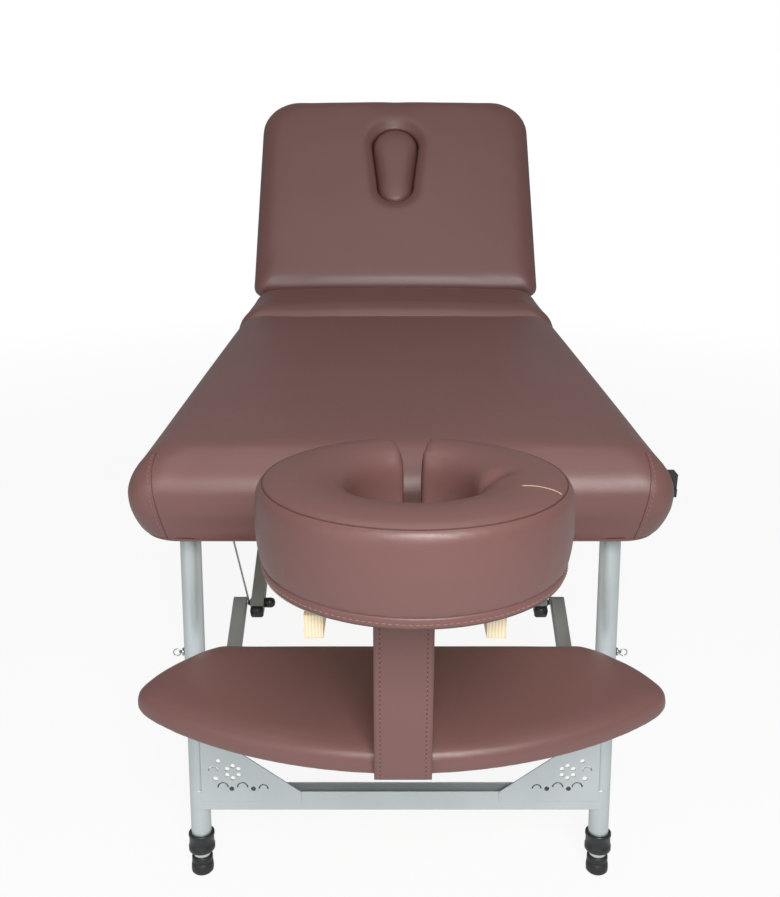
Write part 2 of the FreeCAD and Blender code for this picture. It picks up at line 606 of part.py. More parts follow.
def make_arm_shelf():
    """The hanging arm shelf: a bow-fronted padded board in a wide sling over the cradle's two dowels."""
    rear, front, tip_d = 24.0, 256.0, 138.0
    half = SHELF_WIDE / 2

    def outline(grow, z):
        tip, back_x = half + grow, half - 90 + grow
        points = {
            "back_left": V(-back_x, out_y(rear - grow), z),
            "back_right": V(back_x, out_y(rear - grow), z),
            "tip_right": V(tip, out_y(tip_d), z),
            "tip_left": V(-tip, out_y(tip_d), z),
        }
        front_mid = V(0, out_y(front + grow), z)
        shoulder = V(half - 24 + grow, out_y(tip_d - 52), z)
        wire = Part.Wire([
            Part.LineSegment(points["back_left"], points["back_right"]).toShape(),
            Part.Arc(points["back_right"], shoulder, points["tip_right"]).toShape(),
            Part.Arc(points["tip_right"], front_mid, points["tip_left"]).toShape(),
            Part.Arc(points["tip_left"], V(-shoulder.x, shoulder.y, z), points["back_left"]).toShape(),
        ])
        return Part.Face(wire)

    pad = outline(0.0, SHELF_LOW + SHELF_BOARD).extrude(V(0, 0, SHELF_TOP - SHELF_LOW - SHELF_BOARD))
    save("arm_shelf_pad", pad.makeFillet(SHELF_EDGE_R, top_edges(pad, SHELF_TOP)))
    save("arm_shelf_board", outline(-6.0, SHELF_LOW).extrude(V(0, 0, SHELF_BOARD)))

    x0, x1 = -SLING_WIDE / 2, SLING_WIDE / 2
    low = SHELF_LOW - SLING_THICK
    wrap = DOWEL_R + SLING_THICK
    front_face, rear_face = FRONT_DOWEL[0] + wrap, REAR_DOWEL[0] - wrap
    sling = block(x0, x1, out_y(front_face), out_y(rear_face), low, SHELF_LOW)
    sling = sling.fuse(block(x0, x1, out_y(front_face), out_y(front_face - SLING_THICK), low, FRONT_DOWEL[1]))
    sling = sling.fuse(block(x0, x1, out_y(rear_face + SLING_THICK), out_y(rear_face), low, REAR_DOWEL[1]))
    for d, z in (FRONT_DOWEL, REAR_DOWEL):
        centre = V(0, out_y(d), z)
        sling = sling.fuse(x_rod(centre, x0, x1, wrap).cut(x_rod(centre, x0, x1, DOWEL_R)))
    save("arm_shelf_sling", sling.removeSplitter())


def webbing_handle(x, y0, y1):
    """A flat webbing handle against a side wall, its long edges rounded."""
    handle = block(x, x + HANDLE_THICK, y0, y1, *HANDLE_Z)
    return handle.makeFillet(2.0, [e for e in handle.Edges if e.BoundBox.YLength > 100])


def make_side_fittings():
    """Draw latches and webbing handles on the right-hand side."""
    side_x = WIDTH / 2
    rail_x = RAIL_X + RAIL_WIDE
    bases = []
    keepers = []
    for name, s, z in LATCHES:
        y = near_y(s)
        pivot = V(side_x + 9, y, z)
        base = block(side_x, side_x + 3, y - 18, y + 18, z - 12, z + 26)
        for shift in (-14, 10):
            ear = block(side_x + 2, side_x + 13, y + shift, y + shift + 4, z - 6, z + 5)
            base = base.fuse(ear)
        pin = Part.makeCylinder(LATCH_PIN_R, 28, V(pivot.x, y - 14, pivot.z), Y_AXIS)
        bases.append(base.fuse(pin).removeSplitter())
        lever = Part.makeCylinder(4.5, 19.6, V(pivot.x, y - 9.8, pivot.z), Y_AXIS)
        grip = block(pivot.x - 4.5, pivot.x + 4.5, y - 9.8, y + 9.8, pivot.z, z + 24)
        bore = Part.makeCylinder(LATCH_PIN_R + RUN_CLEAR, 40, V(pivot.x, y - 20, pivot.z), Y_AXIS)
        save("latch_lever_" + name, lever.fuse(grip).cut(bore).removeSplitter())
        keepers.append(block(rail_x, rail_x + 5, far_y(s) - 12, far_y(s) + 12, 515, 528))
    save("latch_bases", group(bases))
    save("latch_keepers", group(keepers))
    first, last = HANDLE_S
    save("near_handle", webbing_handle(side_x, near_y(first), near_y(last)))
    save("far_handle", webbing_handle(rail_x, far_y(last), far_y(first)))


for half in ("near", "far"):
    make_frame(half)
    make_legs(half)
    make_braces(half)
make_fold_hinges()
make_lying_surface()
make_backrest()
make_cradle()
make_arm_shelf()
make_side_fittings()
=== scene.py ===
import math

import bmesh
import bpy
import numpy as np
from mathutils import Matrix, Vector
from mathutils.bvhtree import BVHTree


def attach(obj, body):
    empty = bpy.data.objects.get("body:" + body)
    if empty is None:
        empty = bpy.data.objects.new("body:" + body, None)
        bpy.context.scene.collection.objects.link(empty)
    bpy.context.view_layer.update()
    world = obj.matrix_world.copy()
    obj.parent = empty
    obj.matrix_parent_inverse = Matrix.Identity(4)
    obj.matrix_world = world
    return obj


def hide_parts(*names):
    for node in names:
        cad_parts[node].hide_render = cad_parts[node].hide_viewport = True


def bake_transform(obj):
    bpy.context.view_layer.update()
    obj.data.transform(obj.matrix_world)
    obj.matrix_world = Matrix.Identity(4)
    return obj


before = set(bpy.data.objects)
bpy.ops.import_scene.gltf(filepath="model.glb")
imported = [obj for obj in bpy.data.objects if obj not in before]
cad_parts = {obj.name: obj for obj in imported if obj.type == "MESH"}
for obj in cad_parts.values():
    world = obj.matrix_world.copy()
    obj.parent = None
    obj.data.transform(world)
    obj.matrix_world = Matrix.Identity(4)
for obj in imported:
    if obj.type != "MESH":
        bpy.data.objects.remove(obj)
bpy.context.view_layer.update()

# Studio: a pale floor that fades into a white ground, one broad soft light from the front, a weak one from
# the left and a wide one overhead, as for a catalogue picture.
scene = bpy.context.scene
scene.view_settings.view_transform = "Standard"


def placed(nodes, kind, values):
    """A new node with the given values on its inputs."""
    node = nodes.new(kind)
    for label, value in values.items():
        node.inputs[label].default_value = value
    return node


def seen_share(tree, mirrored):
    """A factor of 1 for rays straight from the camera and of the given share for mirrored ones."""
    path = tree.nodes.new("ShaderNodeLightPath")
    factor = tree.nodes.new("ShaderNodeMath")
    factor.operation = "MULTIPLY_ADD"
    factor.inputs[1].default_value = mirrored
    tree.links.new(path.outputs["Is Glossy Ray"], factor.inputs[0])
    tree.links.new(path.outputs["Is Camera Ray"], factor.inputs[2])
    return factor.outputs["Value"]


world = bpy.data.worlds.new("studio")
scene.world = world
world.use_nodes = True
tree = world.node_tree
tree.nodes.clear()
seen = placed(tree.nodes, "ShaderNodeBackground", {"Color": (1.0, 1.0, 1.0, 1.0), "Strength": 1.0})
ambient = placed(tree.nodes, "ShaderNodeBackground", {"Color": (0.97, 0.985, 1.0, 1.0), "Strength": 0.14})
either = tree.nodes.new("ShaderNodeMixShader")
out = tree.nodes.new("ShaderNodeOutputWorld")
tree.links.new(seen_share(tree, 0.16), either.inputs["Fac"])
tree.links.new(ambient.outputs["Background"], either.inputs[1])
tree.links.new(seen.outputs["Background"], either.inputs[2])
tree.links.new(either.outputs["Shader"], out.inputs["Surface"])

floor_mat = bpy.data.materials.new("pale_floor")
floor_mat.use_nodes = True
tree = floor_mat.node_tree
tree.nodes.clear()
matt = placed(tree.nodes, "ShaderNodeBsdfDiffuse", {"Color": (0.86, 0.86, 0.86, 1.0)})
glow = placed(tree.nodes, "ShaderNodeEmission", {"Color": (1.0, 1.0, 1.0, 1.0)})
where = tree.nodes.new("ShaderNodeNewGeometry")
reach = tree.nodes.new("ShaderNodeVectorMath")
reach.operation = "LENGTH"
fade = placed(tree.nodes, "ShaderNodeMapRange", {
    "From Min": 1.2, "From Max": 3.4, "To Min": 0.91, "To Max": 1.0})
share = tree.nodes.new("ShaderNodeMath")
share.operation = "MULTIPLY"
either = tree.nodes.new("ShaderNodeMixShader")
out = tree.nodes.new("ShaderNodeOutputMaterial")
tree.links.new(where.outputs["Position"], reach.inputs[0])
tree.links.new(reach.outputs["Value"], fade.inputs["Value"])
tree.links.new(seen_share(tree, 0.30), share.inputs[0])
tree.links.new(fade.outputs["Result"], share.inputs[1])
tree.links.new(share.outputs["Value"], either.inputs["Fac"])
tree.links.new(matt.outputs["BSDF"], either.inputs[1])
tree.links.new(glow.outputs["Emission"], either.inputs[2])
tree.links.new(either.outputs["Shader"], out.inputs["Surface"])
floor_mesh = bpy.data.meshes.new("floor")
floor_half = 9.0
floor_corners = [(x * floor_half, y * floor_half, 0.0) for x, y in ((-1, -1), (1, -1), (1, 1), (-1, 1))]
floor_mesh.from_pydata(floor_corners, [], [(0, 1, 2, 3)])
floor = bpy.data.objects.new("floor", floor_mesh)
floor_mesh.materials.append(floor_mat)
scene.collection.objects.link(floor)

for name, place, aim, size, power in (
        ("key", (0.25, -2.70, 2.00), (0.0, -0.6, 0.5), 1.1, 63.0),
        ("fill", (-1.7, -2.7, 1.1), (0.0, -0.3, 0.5), 1.6, 7.0),
        ("overhead", (0.0, -0.5, 2.9), (0.0, 0.7, 0.8), 1.8, 13.0)):
    lamp = bpy.data.lights.new(name, "AREA")
    lamp.size = size
    lamp.energy = power
    lamp_object = bpy.data.objects.new(name, lamp)
    lamp_object.location = place
    lamp_object.rotation_euler = (Vector(aim) - Vector(place)).to_track_quat("-Z", "Y").to_euler()
    scene.collection.objects.link(lamp_object)

camera = bpy.data.objects.new("camera", bpy.data.cameras.new("camera"))
camera.data.sensor_width = 36.0
camera.data.lens = 36.76
camera.location = (-0.014, -1.837, 1.007)
looking_down = 19.5
camera.rotation_euler = (math.radians(90.0 - looking_down), 0.0, 0.0)
scene.collection.objects.link(camera)
scene.camera = camera


# Legs, inner legs, struts, crossbars and corner plates: aluminium tube and folded sheet, sprayed a satin
# silver grey. The spray leaves a fine orange peel, edges are broken, and sliding inner legs are brighter.
def put_out(group, colour, roughness, normal):
    """Gives a group the three outputs that every finish here has, and feeds them."""
    for label, kind in (("Colour", "NodeSocketColor"), ("Roughness", "NodeSocketFloat"),
                        ("Normal", "NodeSocketVector")):
        group.interface.new_socket(label, in_out="OUTPUT", socket_type=kind)
    group_out = group.nodes.new("NodeGroupOutput")
    for label, source in (("Colour", colour), ("Roughness", roughness), ("Normal", normal)):
        group.links.new(source, group_out.inputs[label])


hard_finish = bpy.data.node_groups.new("hard_finish", "ShaderNodeTree")
for label in ("Dark", "Light"):
    hard_finish.interface.new_socket(label, in_out="INPUT", socket_type="NodeSocketColor")
for label in ("Smoothest", "Roughest", "Grain", "Depth", "Edge"):
    hard_finish.interface.new_socket(label, in_out="INPUT", socket_type="NodeSocketFloat")
nodes, links = hard_finish.nodes, hard_finish.links
given = nodes.new("NodeGroupInput")
where = nodes.new("ShaderNodeTexCoord")
broad = placed(nodes, "ShaderNodeTexNoise", {"Scale": 14.0, "Detail": 3.0})
fine = placed(nodes, "ShaderNodeTexNoise", {"Detail": 2.0})
tint = nodes.new("ShaderNodeMix")
tint.data_type = "RGBA"
rough = nodes.new("ShaderNodeMapRange")
relief = placed(nodes, "ShaderNodeBump", {"Strength": 0.5})
broken = nodes.new("ShaderNodeBevel")
broken.samples = 4
for label, socket in (("Dark", tint.inputs["A"]), ("Light", tint.inputs["B"]),
                      ("Smoothest", rough.inputs["To Min"]), ("Roughest", rough.inputs["To Max"]),
                      ("Grain", fine.inputs["Scale"]), ("Depth", relief.inputs["Distance"]),
                      ("Edge", broken.inputs["Radius"])):
    links.new(given.outputs[label], socket)
links.new(where.outputs["Object"], broad.inputs["Vector"])
links.new(where.outputs["Object"], fine.inputs["Vector"])
links.new(broad.outputs["Fac"], tint.inputs["Factor"])
links.new(broad.outputs["Fac"], rough.inputs["Value"])
links.new(fine.outputs["Fac"], relief.inputs["Height"])
links.new(broken.outputs["Normal"], relief.inputs["Normal"])
put_out(hard_finish, tint.outputs["Result"], rough.outputs["Result"], relief.outputs["Normal"])


def finished(name, group):
    """A material whose colour, roughness and relief come from a finish group, with its shader and group."""
    material = bpy.data.materials.new(name)
    material.use_nodes = True
    nodes, links = material.node_tree.nodes, material.node_tree.links
    shader = nodes["Principled BSDF"]
    finish = nodes.new("ShaderNodeGroup")
    finish.node_tree = group
    for label, socket in (("Colour", "Base Color"), ("Roughness", "Roughness"), ("Normal", "Normal")):
        links.new(finish.outputs[label], shader.inputs[socket])
    return material, shader, finish


def moulded(name, colour, metallic, roughness, grain, depth, edge):
    """A hard finish: colour mottled a little, roughness that wanders, fine relief and rounded edges."""
    material, shader, finish = finished(name, hard_finish)
    shader.inputs["Metallic"].default_value = metallic
    finish.inputs["Dark"].default_value = tuple(0.88 * c for c in colour) + (1.0,)
    finish.inputs["Light"].default_value = tuple(min(1.0, 1.1 * c) for c in colour) + (1.0,)
    for label, value in (("Smoothest", roughness - 0.07), ("Roughest", roughness + 0.09),
                         ("Grain", grain), ("Depth", depth), ("Edge", edge)):
        finish.inputs[label].default_value = value
    return material


def dress(material, *names):
    """Puts one material on CAD nodes."""
    for name in names:
        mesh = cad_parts[name].data
        mesh.materials.clear()
        mesh.materials.append(material)


silver = moulded("satin_silver", (0.58, 0.64, 0.65), 0.55, 0.36, 900.0, 0.00012, 0.0006)
bright = moulded("inner_leg_metal", (0.70, 0.72, 0.73), 0.9, 0.24, 700.0, 0.00006, 0.0004)
# Painted shade: the struts wear the same satin silver as the legs, darkened here for the shade they stand in
# under the table.
strut_silver_painted_shade = moulded("strut_silver_painted_shade", (0.33, 0.35, 0.345), 0.45, 0.46, 900.0, 0.00012, 0.0008)
zinc = moulded("zinc_plate", (0.56, 0.57, 0.56), 1.0, 0.33, 500.0, 0.0001, 0.0004)
for side in ("near", "far"):
    dress(silver, side + "_leg_tubes", side + "_crossbar", side + "_corner_plates")
    dress(strut_silver_painted_shade, side + "_lower_struts", side + "_upper_struts")
    dress(bright, side + "_left_inner_leg", side + "_right_inner_leg")
    dress(zinc, side + "_leg_bolts", side + "_pivot_brackets", side + "_fold_hinges")
black_steel = moulded("black_steel", (0.030, 0.030, 0.032), 0.6, 0.42, 600.0, 0.0001, 0.0005)
dress(black_steel, "lift_hinge_plates", "lift_hinge_arms")


# Feet, collars and lock pins, turned on their own lines. The black plastic collar has a lip at both ends, the
# rubber foot flares to a rounded sole, and the sprung pin is plated steel with a wire ring to pull it by.
def solid_piece(name, bm, material, body):
    """A smooth shaded piece made of a closed bmesh, riding on a body."""
    bmesh.ops.recalc_face_normals(bm, faces=bm.faces)
    mesh = bpy.data.meshes.new(name)
    bm.to_mesh(mesh)
    bm.free()
    mesh.materials.append(material)
    for face in mesh.polygons:
        face.use_smooth = True
    piece = bpy.data.objects.new(name, mesh)
    scene.collection.objects.link(piece)
    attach(piece, body)
    return piece


def turned(name, start, along, profile, material, body):
    """A lathe piece: profile holds (distance along, radius) pairs from start."""
    along = Vector(along).normalized()
    across = along.orthogonal().normalized()
    other = along.cross(across)
    count = 40
    bm = bmesh.new()
    rings = []
    for reach, radius in profile:
        centre = Vector(start) + along * reach
        if radius < 1e-6:
            rings.append([bm.verts.new(centre)])
            continue
        ring = []
        for k in range(count):
            turn = 2 * math.pi * k / count
            around = across * math.cos(turn) + other * math.sin(turn)
            ring.append(bm.verts.new(centre + around * radius))
        rings.append(ring)
    for low, high in zip(rings, rings[1:]):
        for k in range(count):
            after = (k + 1) % count
            corners = [low[k % len(low)], low[after % len(low)], high[after % len(high)], high[k % len(high)]]
            bm.faces.new(list(dict.fromkeys(corners)))
    return solid_piece(name, bm, material, body)


def wire_ring(name, centre, bend, radius, material, body):
    """An upright ring of round wire, bent to the radius bend."""
    count, sides = 32, 8
    bm = bmesh.new()
    rings = []
    for k in range(count):
        turn = 2 * math.pi * k / count
        outward = Vector((math.cos(turn), 0.0, math.sin(turn)))
        sideways = Vector((0.0, 1.0, 0.0))
        ring = []
        for side in range(sides):
            swing = 2 * math.pi * side / sides
            around = outward * math.cos(swing) + sideways * math.sin(swing)
            ring.append(bm.verts.new(centre + outward * bend + around * radius))
        rings.append(ring)
    for k in range(count):
        here, after = rings[k], rings[(k + 1) % count]
        for side in range(sides):
            beyond = (side + 1) % sides
            bm.faces.new((here[side], here[beyond], after[beyond], after[side]))
    return solid_piece(name, bm, material, body)


plastic = moulded("black_plastic", (0.020, 0.021, 0.023), 0.0, 0.36, 1200.0, 0.00010, 0.0008)
rubber = moulded("black_rubber", (0.018, 0.018, 0.019), 0.0, 0.50, 800.0, 0.00018, 0.0010)
HANDS = (("left", -1.0), ("right", 1.0))
LEG_X = {"near": 0.281, "far": 0.240}
PIVOT_Y = {"near": -0.715, "far": 1.035}
OUTER = {"near": -1.0, "far": 1.0}
PIVOT_Z = 0.522
LEAN = math.atan2(0.090, PIVOT_Z)
for side, leg_x in LEG_X.items():
    down = Vector((0.0, OUTER[side] * math.sin(LEAN), -math.cos(LEAN)))
    for hand, sign in HANDS:
        leg = side + "_" + hand
        pivot = Vector((sign * leg_x, PIVOT_Y[side], PIVOT_Z))
        collar = turned(leg + "_collar", pivot + down * 0.466, down, (
            (0.0, 0.0141), (-0.0005, 0.0168), (0.0006, 0.0180), (0.0040, 0.0182), (0.0052, 0.0172),
            (0.0180, 0.0174), (0.0192, 0.0184), (0.0252, 0.0184), (0.0270, 0.0172), (0.0272, 0.0124),
            (0.0180, 0.0124)), plastic, side + "_legs")
        foot = turned(leg + "_rubber_foot", pivot + down * 0.5008, down, (
            (0.012, 0.0121), (0.0, 0.0121), (0.0002, 0.0136), (0.0018, 0.0146), (0.0080, 0.0146),
            (0.0092, 0.0138), (0.0104, 0.0138), (0.0116, 0.0150), (0.0180, 0.0156), (0.0236, 0.0152),
            (0.0262, 0.0128), (0.0266, 0.0)), rubber, leg + "_inner")
        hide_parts(leg + "_foot")
        stem = pivot + down * 0.198
        stem.x = sign * (leg_x + 0.0124)
        pin = turned(leg + "_spring_pin", stem, (sign, 0.0, 0.0), (
            (0.0, 0.0), (0.0, 0.0028), (0.0018, 0.0030), (0.0018, 0.0052), (0.0030, 0.0056),
            (0.0042, 0.0052), (0.0044, 0.0022), (0.0085, 0.0020), (0.0090, 0.0)), zinc, leg + "_pin")
        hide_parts(leg + "_lock_pin")
        ring_at = stem + Vector((sign * 0.0118, 0.0, -0.0012))
        wire_ring(leg + "_pull_ring", ring_at, 0.0050, 0.0009, zinc, leg + "_pin")
    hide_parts(side + "_leg_collars")

# Knees of the braces: a rounded grip and its bolt on the upper strut, and a moulded cap that closes the
# strut's end. The bolt's plated washers show between the two struts.
KNEE_Y = {"near": -0.5504, "far": 0.8704}
KNEE_Z = 0.29252
for side, leg_x in LEG_X.items():
    along = Vector((0.0, OUTER[side] * 0.8905, -0.4550))
    for hand, sign in HANDS:
        brace = side + "_upper_braces"
        knee = Vector((0.0, KNEE_Y[side], KNEE_Z))
        inner_face = Vector((sign * (leg_x - 0.068), knee.y, knee.z))
        grip = turned(side + "_" + hand + "_knee_grip", inner_face, (-sign, 0.0, 0.0), (
            (0.0, 0.0), (0.0, 0.0066), (0.0016, 0.0078), (0.0105, 0.0080), (0.0140, 0.0070),
            (0.0162, 0.0048), (0.0170, 0.0020), (0.0171, 0.0)), plastic, brace)
        outer_face = Vector((sign * (leg_x - 0.048), knee.y, knee.z))
        turned(side + "_" + hand + "_knee_bolt", outer_face, (sign, 0.0, 0.0), (
            (0.0, 0.0), (0.0, 0.0075), (0.0011, 0.0075), (0.0012, 0.0060), (0.0024, 0.0060),
            (0.0025, 0.0040), (0.0058, 0.0040), (0.0060, 0.0)), zinc, brace)
        cap_wide, cap_long, cap_high = 0.0196, 0.011, 0.0176
        bm = bmesh.new()
        bmesh.ops.create_cube(bm, size=1.0)
        bmesh.ops.scale(bm, vec=(cap_wide, cap_long, cap_high), verts=bm.verts)
        bmesh.ops.bevel(bm, geom=bm.edges[:], offset=0.0018, segments=3, affect="EDGES")
        turn_to = Matrix.Rotation(math.atan2(along.z, along.y), 4, "X")
        place = knee + along * (0.012 + cap_long / 2)
        place.x = sign * (leg_x - 0.058)
        bmesh.ops.transform(bm, matrix=Matrix.Translation(place) @ turn_to, verts=bm.verts)
        solid_piece(side + "_" + hand + "_strut_cap", bm, plastic, brace)
    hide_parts(side + "_knee_knobs")

dress(plastic, "tilt_lever", "latch_bases", "latch_keepers", "latch_lever_front", "latch_lever_rear")


# Upholstery: soft brown synthetic leather, satin, with a fine pebble grain pressed into it. The tone
# drifts slowly over a panel, and the sheen follows the crumple of the grain.
grain_group = bpy.data.node_groups.new("pebble_grain", "ShaderNodeTree")
nodes, links = grain_group.nodes, grain_group.links
where = nodes.new("ShaderNodeTexCoord")
cells = placed(nodes, "ShaderNodeTexVoronoi", {"Scale": 620.0})
crumple = placed(nodes, "ShaderNodeTexNoise", {"Scale": 210.0, "Detail": 4.0})
drift = placed(nodes, "ShaderNodeTexNoise", {"Scale": 5.0, "Detail": 4.0})
height = nodes.new("ShaderNodeMath")
height.operation = "MULTIPLY_ADD"
height.inputs[1].default_value = 0.6
tone = nodes.new("ShaderNodeMix")
tone.data_type = "RGBA"
tone.inputs["A"].default_value = (0.156, 0.071, 0.064, 1.0)
tone.inputs["B"].default_value = (0.184, 0.084, 0.076, 1.0)
satin = placed(nodes, "ShaderNodeMapRange", {"To Min": 0.36, "To Max": 0.48})
relief = placed(nodes, "ShaderNodeBump", {"Strength": 0.22, "Distance": 0.0004})
for texture in (cells, crumple, drift):
    links.new(where.outputs["Object"], texture.inputs["Vector"])
links.new(cells.outputs["Distance"], height.inputs[0])
links.new(crumple.outputs["Fac"], height.inputs[2])
links.new(drift.outputs["Fac"], tone.inputs["Factor"])
links.new(crumple.outputs["Fac"], satin.inputs["Value"])
links.new(height.outputs["Value"], relief.inputs["Height"])
put_out(grain_group, tone.outputs["Result"], satin.outputs["Result"], relief.outputs["Normal"])

leather, shader = finished("brown_leather", grain_group)[:2]
shader.inputs["Specular IOR Level"].default_value = 0.58

thread = moulded("brown_thread", (0.30, 0.15, 0.13), 0.0, 0.75, 2200.0, 0.0002, 0.0002)
pale_thread = moulded("pale_thread", (0.55, 0.40, 0.26), 0.0, 0.75, 2200.0, 0.0002, 0.0002)
# Painted shade: this dark brown line is laid along the seams to stand for the shade in each seam's groove,
# which is too narrow for the foam mesh to form.
painted_crease_shade = moulded("seam_painted_shade", (0.085, 0.036, 0.031), 0.0, 0.7, 900.0, 0.0002, 0.0002)


def face_outward(mesh):
    """Turns the faces of a closed mesh outward."""
    bm = bmesh.new()
    bm.from_mesh(mesh)
    bmesh.ops.recalc_face_normals(bm, faces=bm.faces)
    bm.to_mesh(mesh)
    bm.free()


def closed_form(name, loops):
    """A closed mesh skinned over loops of points of equal number, with flat ends."""
    count = len(loops[0])
    points = [tuple(p) for loop in loops for p in loop]
    faces = [tuple(range(count)), tuple(range(len(points) - count, len(points)))]
    for row in range(len(loops) - 1):
        for k in range(count):
            a, b = row * count + k, row * count + (k + 1) % count
            faces.append((a, b, b + count, a + count))
    mesh = bpy.data.meshes.new(name)
    mesh.from_pydata(points, [], faces)
    face_outward(mesh)
    piece = bpy.data.objects.new(name, mesh)
    scene.collection.objects.link(piece)
    return piece


def bake(piece):
    """Applies a piece's modifiers to its own mesh."""
    graph = bpy.context.evaluated_depsgraph_get()
    mesh = bpy.data.meshes.new_from_object(piece.evaluated_get(graph))
    piece.modifiers.clear()
    old, piece.data = piece.data, mesh
    bpy.data.meshes.remove(old)


def even_out(piece, voxel):
    """Gives a piece an even mesh of the given step and fairs it."""
    remesh = piece.modifiers.new("even", "REMESH")
    remesh.mode = "VOXEL"
    remesh.voxel_size = voxel
    fair = piece.modifiers.new("fair", "SMOOTH")
    fair.factor = 0.5
    fair.iterations = 4
    bake(piece)


def points_of(mesh):
    """A mesh's points as an array."""
    flat = np.empty(len(mesh.vertices) * 3)
    mesh.vertices.foreach_get("co", flat)
    return flat.reshape(-1, 3)


def set_points(piece, points):
    """Moves a piece's points to new places."""
    piece.data.vertices.foreach_set("co", points.ravel())
    piece.data.update()


def inflate(piece, cap, held_below):
    """Foam under a stretched cover that is held below a height: presses the cover out as cloth, irons out the
    finest creases and keeps each point within cap of its start."""
    pressure, steps, ironings = 4.0, 20, 30
    start = points_of(piece.data)
    cover = piece.modifiers.new("cover", "CLOTH")
    cover.settings.quality = 4
    cover.settings.mass = 0.2
    cover.settings.tension_stiffness = 12.0
    cover.settings.compression_stiffness = 12.0
    cover.settings.shear_stiffness = 6.0
    cover.settings.bending_stiffness = 0.6
    cover.settings.use_pressure = True
    cover.settings.uniform_pressure_force = pressure
    cover.settings.effector_weights.gravity = 0.0
    cover.collision_settings.use_collision = False
    cover.point_cache.frame_start = 1
    cover.point_cache.frame_end = steps
    pins = piece.vertex_groups.new(name="held")
    pins.add([int(k) for k in np.nonzero(start[:, 2] < held_below)[0]], 1.0, "REPLACE")
    cover.settings.vertex_group_mass = "held"
    for step in range(1, steps + 1):
        scene.frame_set(step)
    graph = bpy.context.evaluated_depsgraph_get()
    pressed = points_of(piece.evaluated_get(graph).to_mesh())
    piece.modifiers.clear()
    scene.frame_set(1)
    move = pressed - start
    edges = np.array([e.vertices[:] for e in piece.data.edges])
    count = np.bincount(edges.ravel(), minlength=len(start))[:, None]
    for ironing in range(ironings):
        total = np.zeros_like(move)
        np.add.at(total, edges[:, 0], move[edges[:, 1]])
        np.add.at(total, edges[:, 1], move[edges[:, 0]])
        move = 0.5 * move + 0.5 * total / count
    far = np.linalg.norm(move, axis=1, keepdims=True)
    set_points(piece, start + move * cap * np.tanh(far / cap) / np.maximum(far, 1e-9))


def cut_out(piece, tool):
    """Takes a tool's volume out of a piece and removes the tool."""
    knife = piece.modifiers.new("cut", "BOOLEAN")
    knife.operation = "DIFFERENCE"
    knife.solver = "EXACT"
    knife.object = tool
    bake(piece)
    old = tool.data
    bpy.data.objects.remove(tool)
    bpy.data.meshes.remove(old)


def upholster(piece, levels, body, fill, *nodes):
    """Divides a cover once more if asked, shades it smooth and puts it on its body in place of CAD nodes."""
    if levels:
        finer = piece.modifiers.new("finer", "SUBSURF")
        finer.levels = levels
        finer.render_levels = levels
        bake(piece)
    piece.data.materials.clear()
    piece.data.materials.append(leather)
    piece.data.polygons.foreach_set("use_smooth", np.ones(len(piece.data.polygons), bool))
    piece.data.update()
    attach(piece, body)
    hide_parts(*nodes)


def spaced(points, step):
    """Points at an even step along a polyline."""
    points = np.array(points, float)
    run = np.concatenate(([0.0], np.cumsum(np.linalg.norm(np.diff(points, axis=0), axis=1))))
    count = max(3, int(run[-1] / step) + 1)
    marks = np.linspace(0.0, run[-1], count)
    return np.stack([np.interp(marks, run, points[:, k]) for k in range(3)], axis=1)


def on_cover(piece, points):
    """The nearest points of a piece's surface, with their normals."""
    surface = BVHTree.FromObject(piece, bpy.context.evaluated_depsgraph_get())
    found = [surface.find_nearest(Vector(p)) for p in points]
    return [(hit[0], hit[1]) for hit in found]


def meshed(name, points, faces, material):
    """A smooth shaded piece made of points and faces."""
    mesh = bpy.data.meshes.new(name)
    mesh.from_pydata([tuple(p) for p in points], [], faces)
    mesh.materials.append(material)
    mesh.polygons.foreach_set("use_smooth", np.ones(len(mesh.polygons), bool))
    piece = bpy.data.objects.new(name, mesh)
    scene.collection.objects.link(piece)
    return piece


def tube_faces(base, rings, sides):
    """Faces of a tube of equal rings of points that start at number base, closed at both ends."""
    faces = []
    for ring in range(rings - 1):
        for side in range(sides):
            a = base + sides * ring + side
            b = base + sides * ring + (side + 1) % sides
            faces.append((a, b, b + sides, a + sides))
    faces.append(tuple(range(base + sides - 1, base - 1, -1)))
    faces.append(tuple(range(base + sides * (rings - 1), base + sides * rings)))
    return faces


SEAM_STEP = 0.003
SIX_WAYS = [math.pi * side / 3 for side in range(6)]


def seam_line(name, path, radius, wide, lift, material, body):
    """A slim tube or flat lip that lies along a seam, sunk or proud by lift."""
    points = []
    for k, (place, normal) in enumerate(path):
        ahead = path[min(k + 1, len(path) - 1)][0] - path[max(k - 1, 0)][0]
        across = normal.cross(ahead).normalized()
        for turn in SIX_WAYS:
            high = lift + radius * math.sin(turn)
            points.append(place + normal * high + across * (wide * math.cos(turn)))
    piece = meshed(name, points, tube_faces(0, len(path), len(SIX_WAYS)), material)
    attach(piece, body)
    return piece


def stitching(name, path, pitch, long, radius, material, body):
    """A row of thread stitches, each dipping into the cover at both ends."""
    shape = ((-0.5, 0.5, -0.7), (-0.25, 1.0, 0.35), (0.25, 1.0, 0.35), (0.5, 0.5, -0.7))
    places = spaced([p for p, n in path], pitch)
    line = np.array([p[:] for p, n in path])
    points, faces = [], []
    for first, second in zip(places, places[1:]):
        middle = Vector((first + second) / 2)
        along = Vector(second - first).normalized()
        normal = path[int(np.argmin(np.linalg.norm(line - np.array(middle), axis=1)))][1]
        across = normal.cross(along).normalized()
        faces += tube_faces(len(points), len(shape), len(SIX_WAYS))
        for reach, size, lift in shape:
            centre = middle + along * (reach * long) + normal * (lift * radius)
            for turn in SIX_WAYS:
                around = normal * math.sin(turn) + across * math.cos(turn)
                points.append(centre + around * (radius * size))
    piece = meshed(name, points, faces, material)
    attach(piece, body)
    return piece


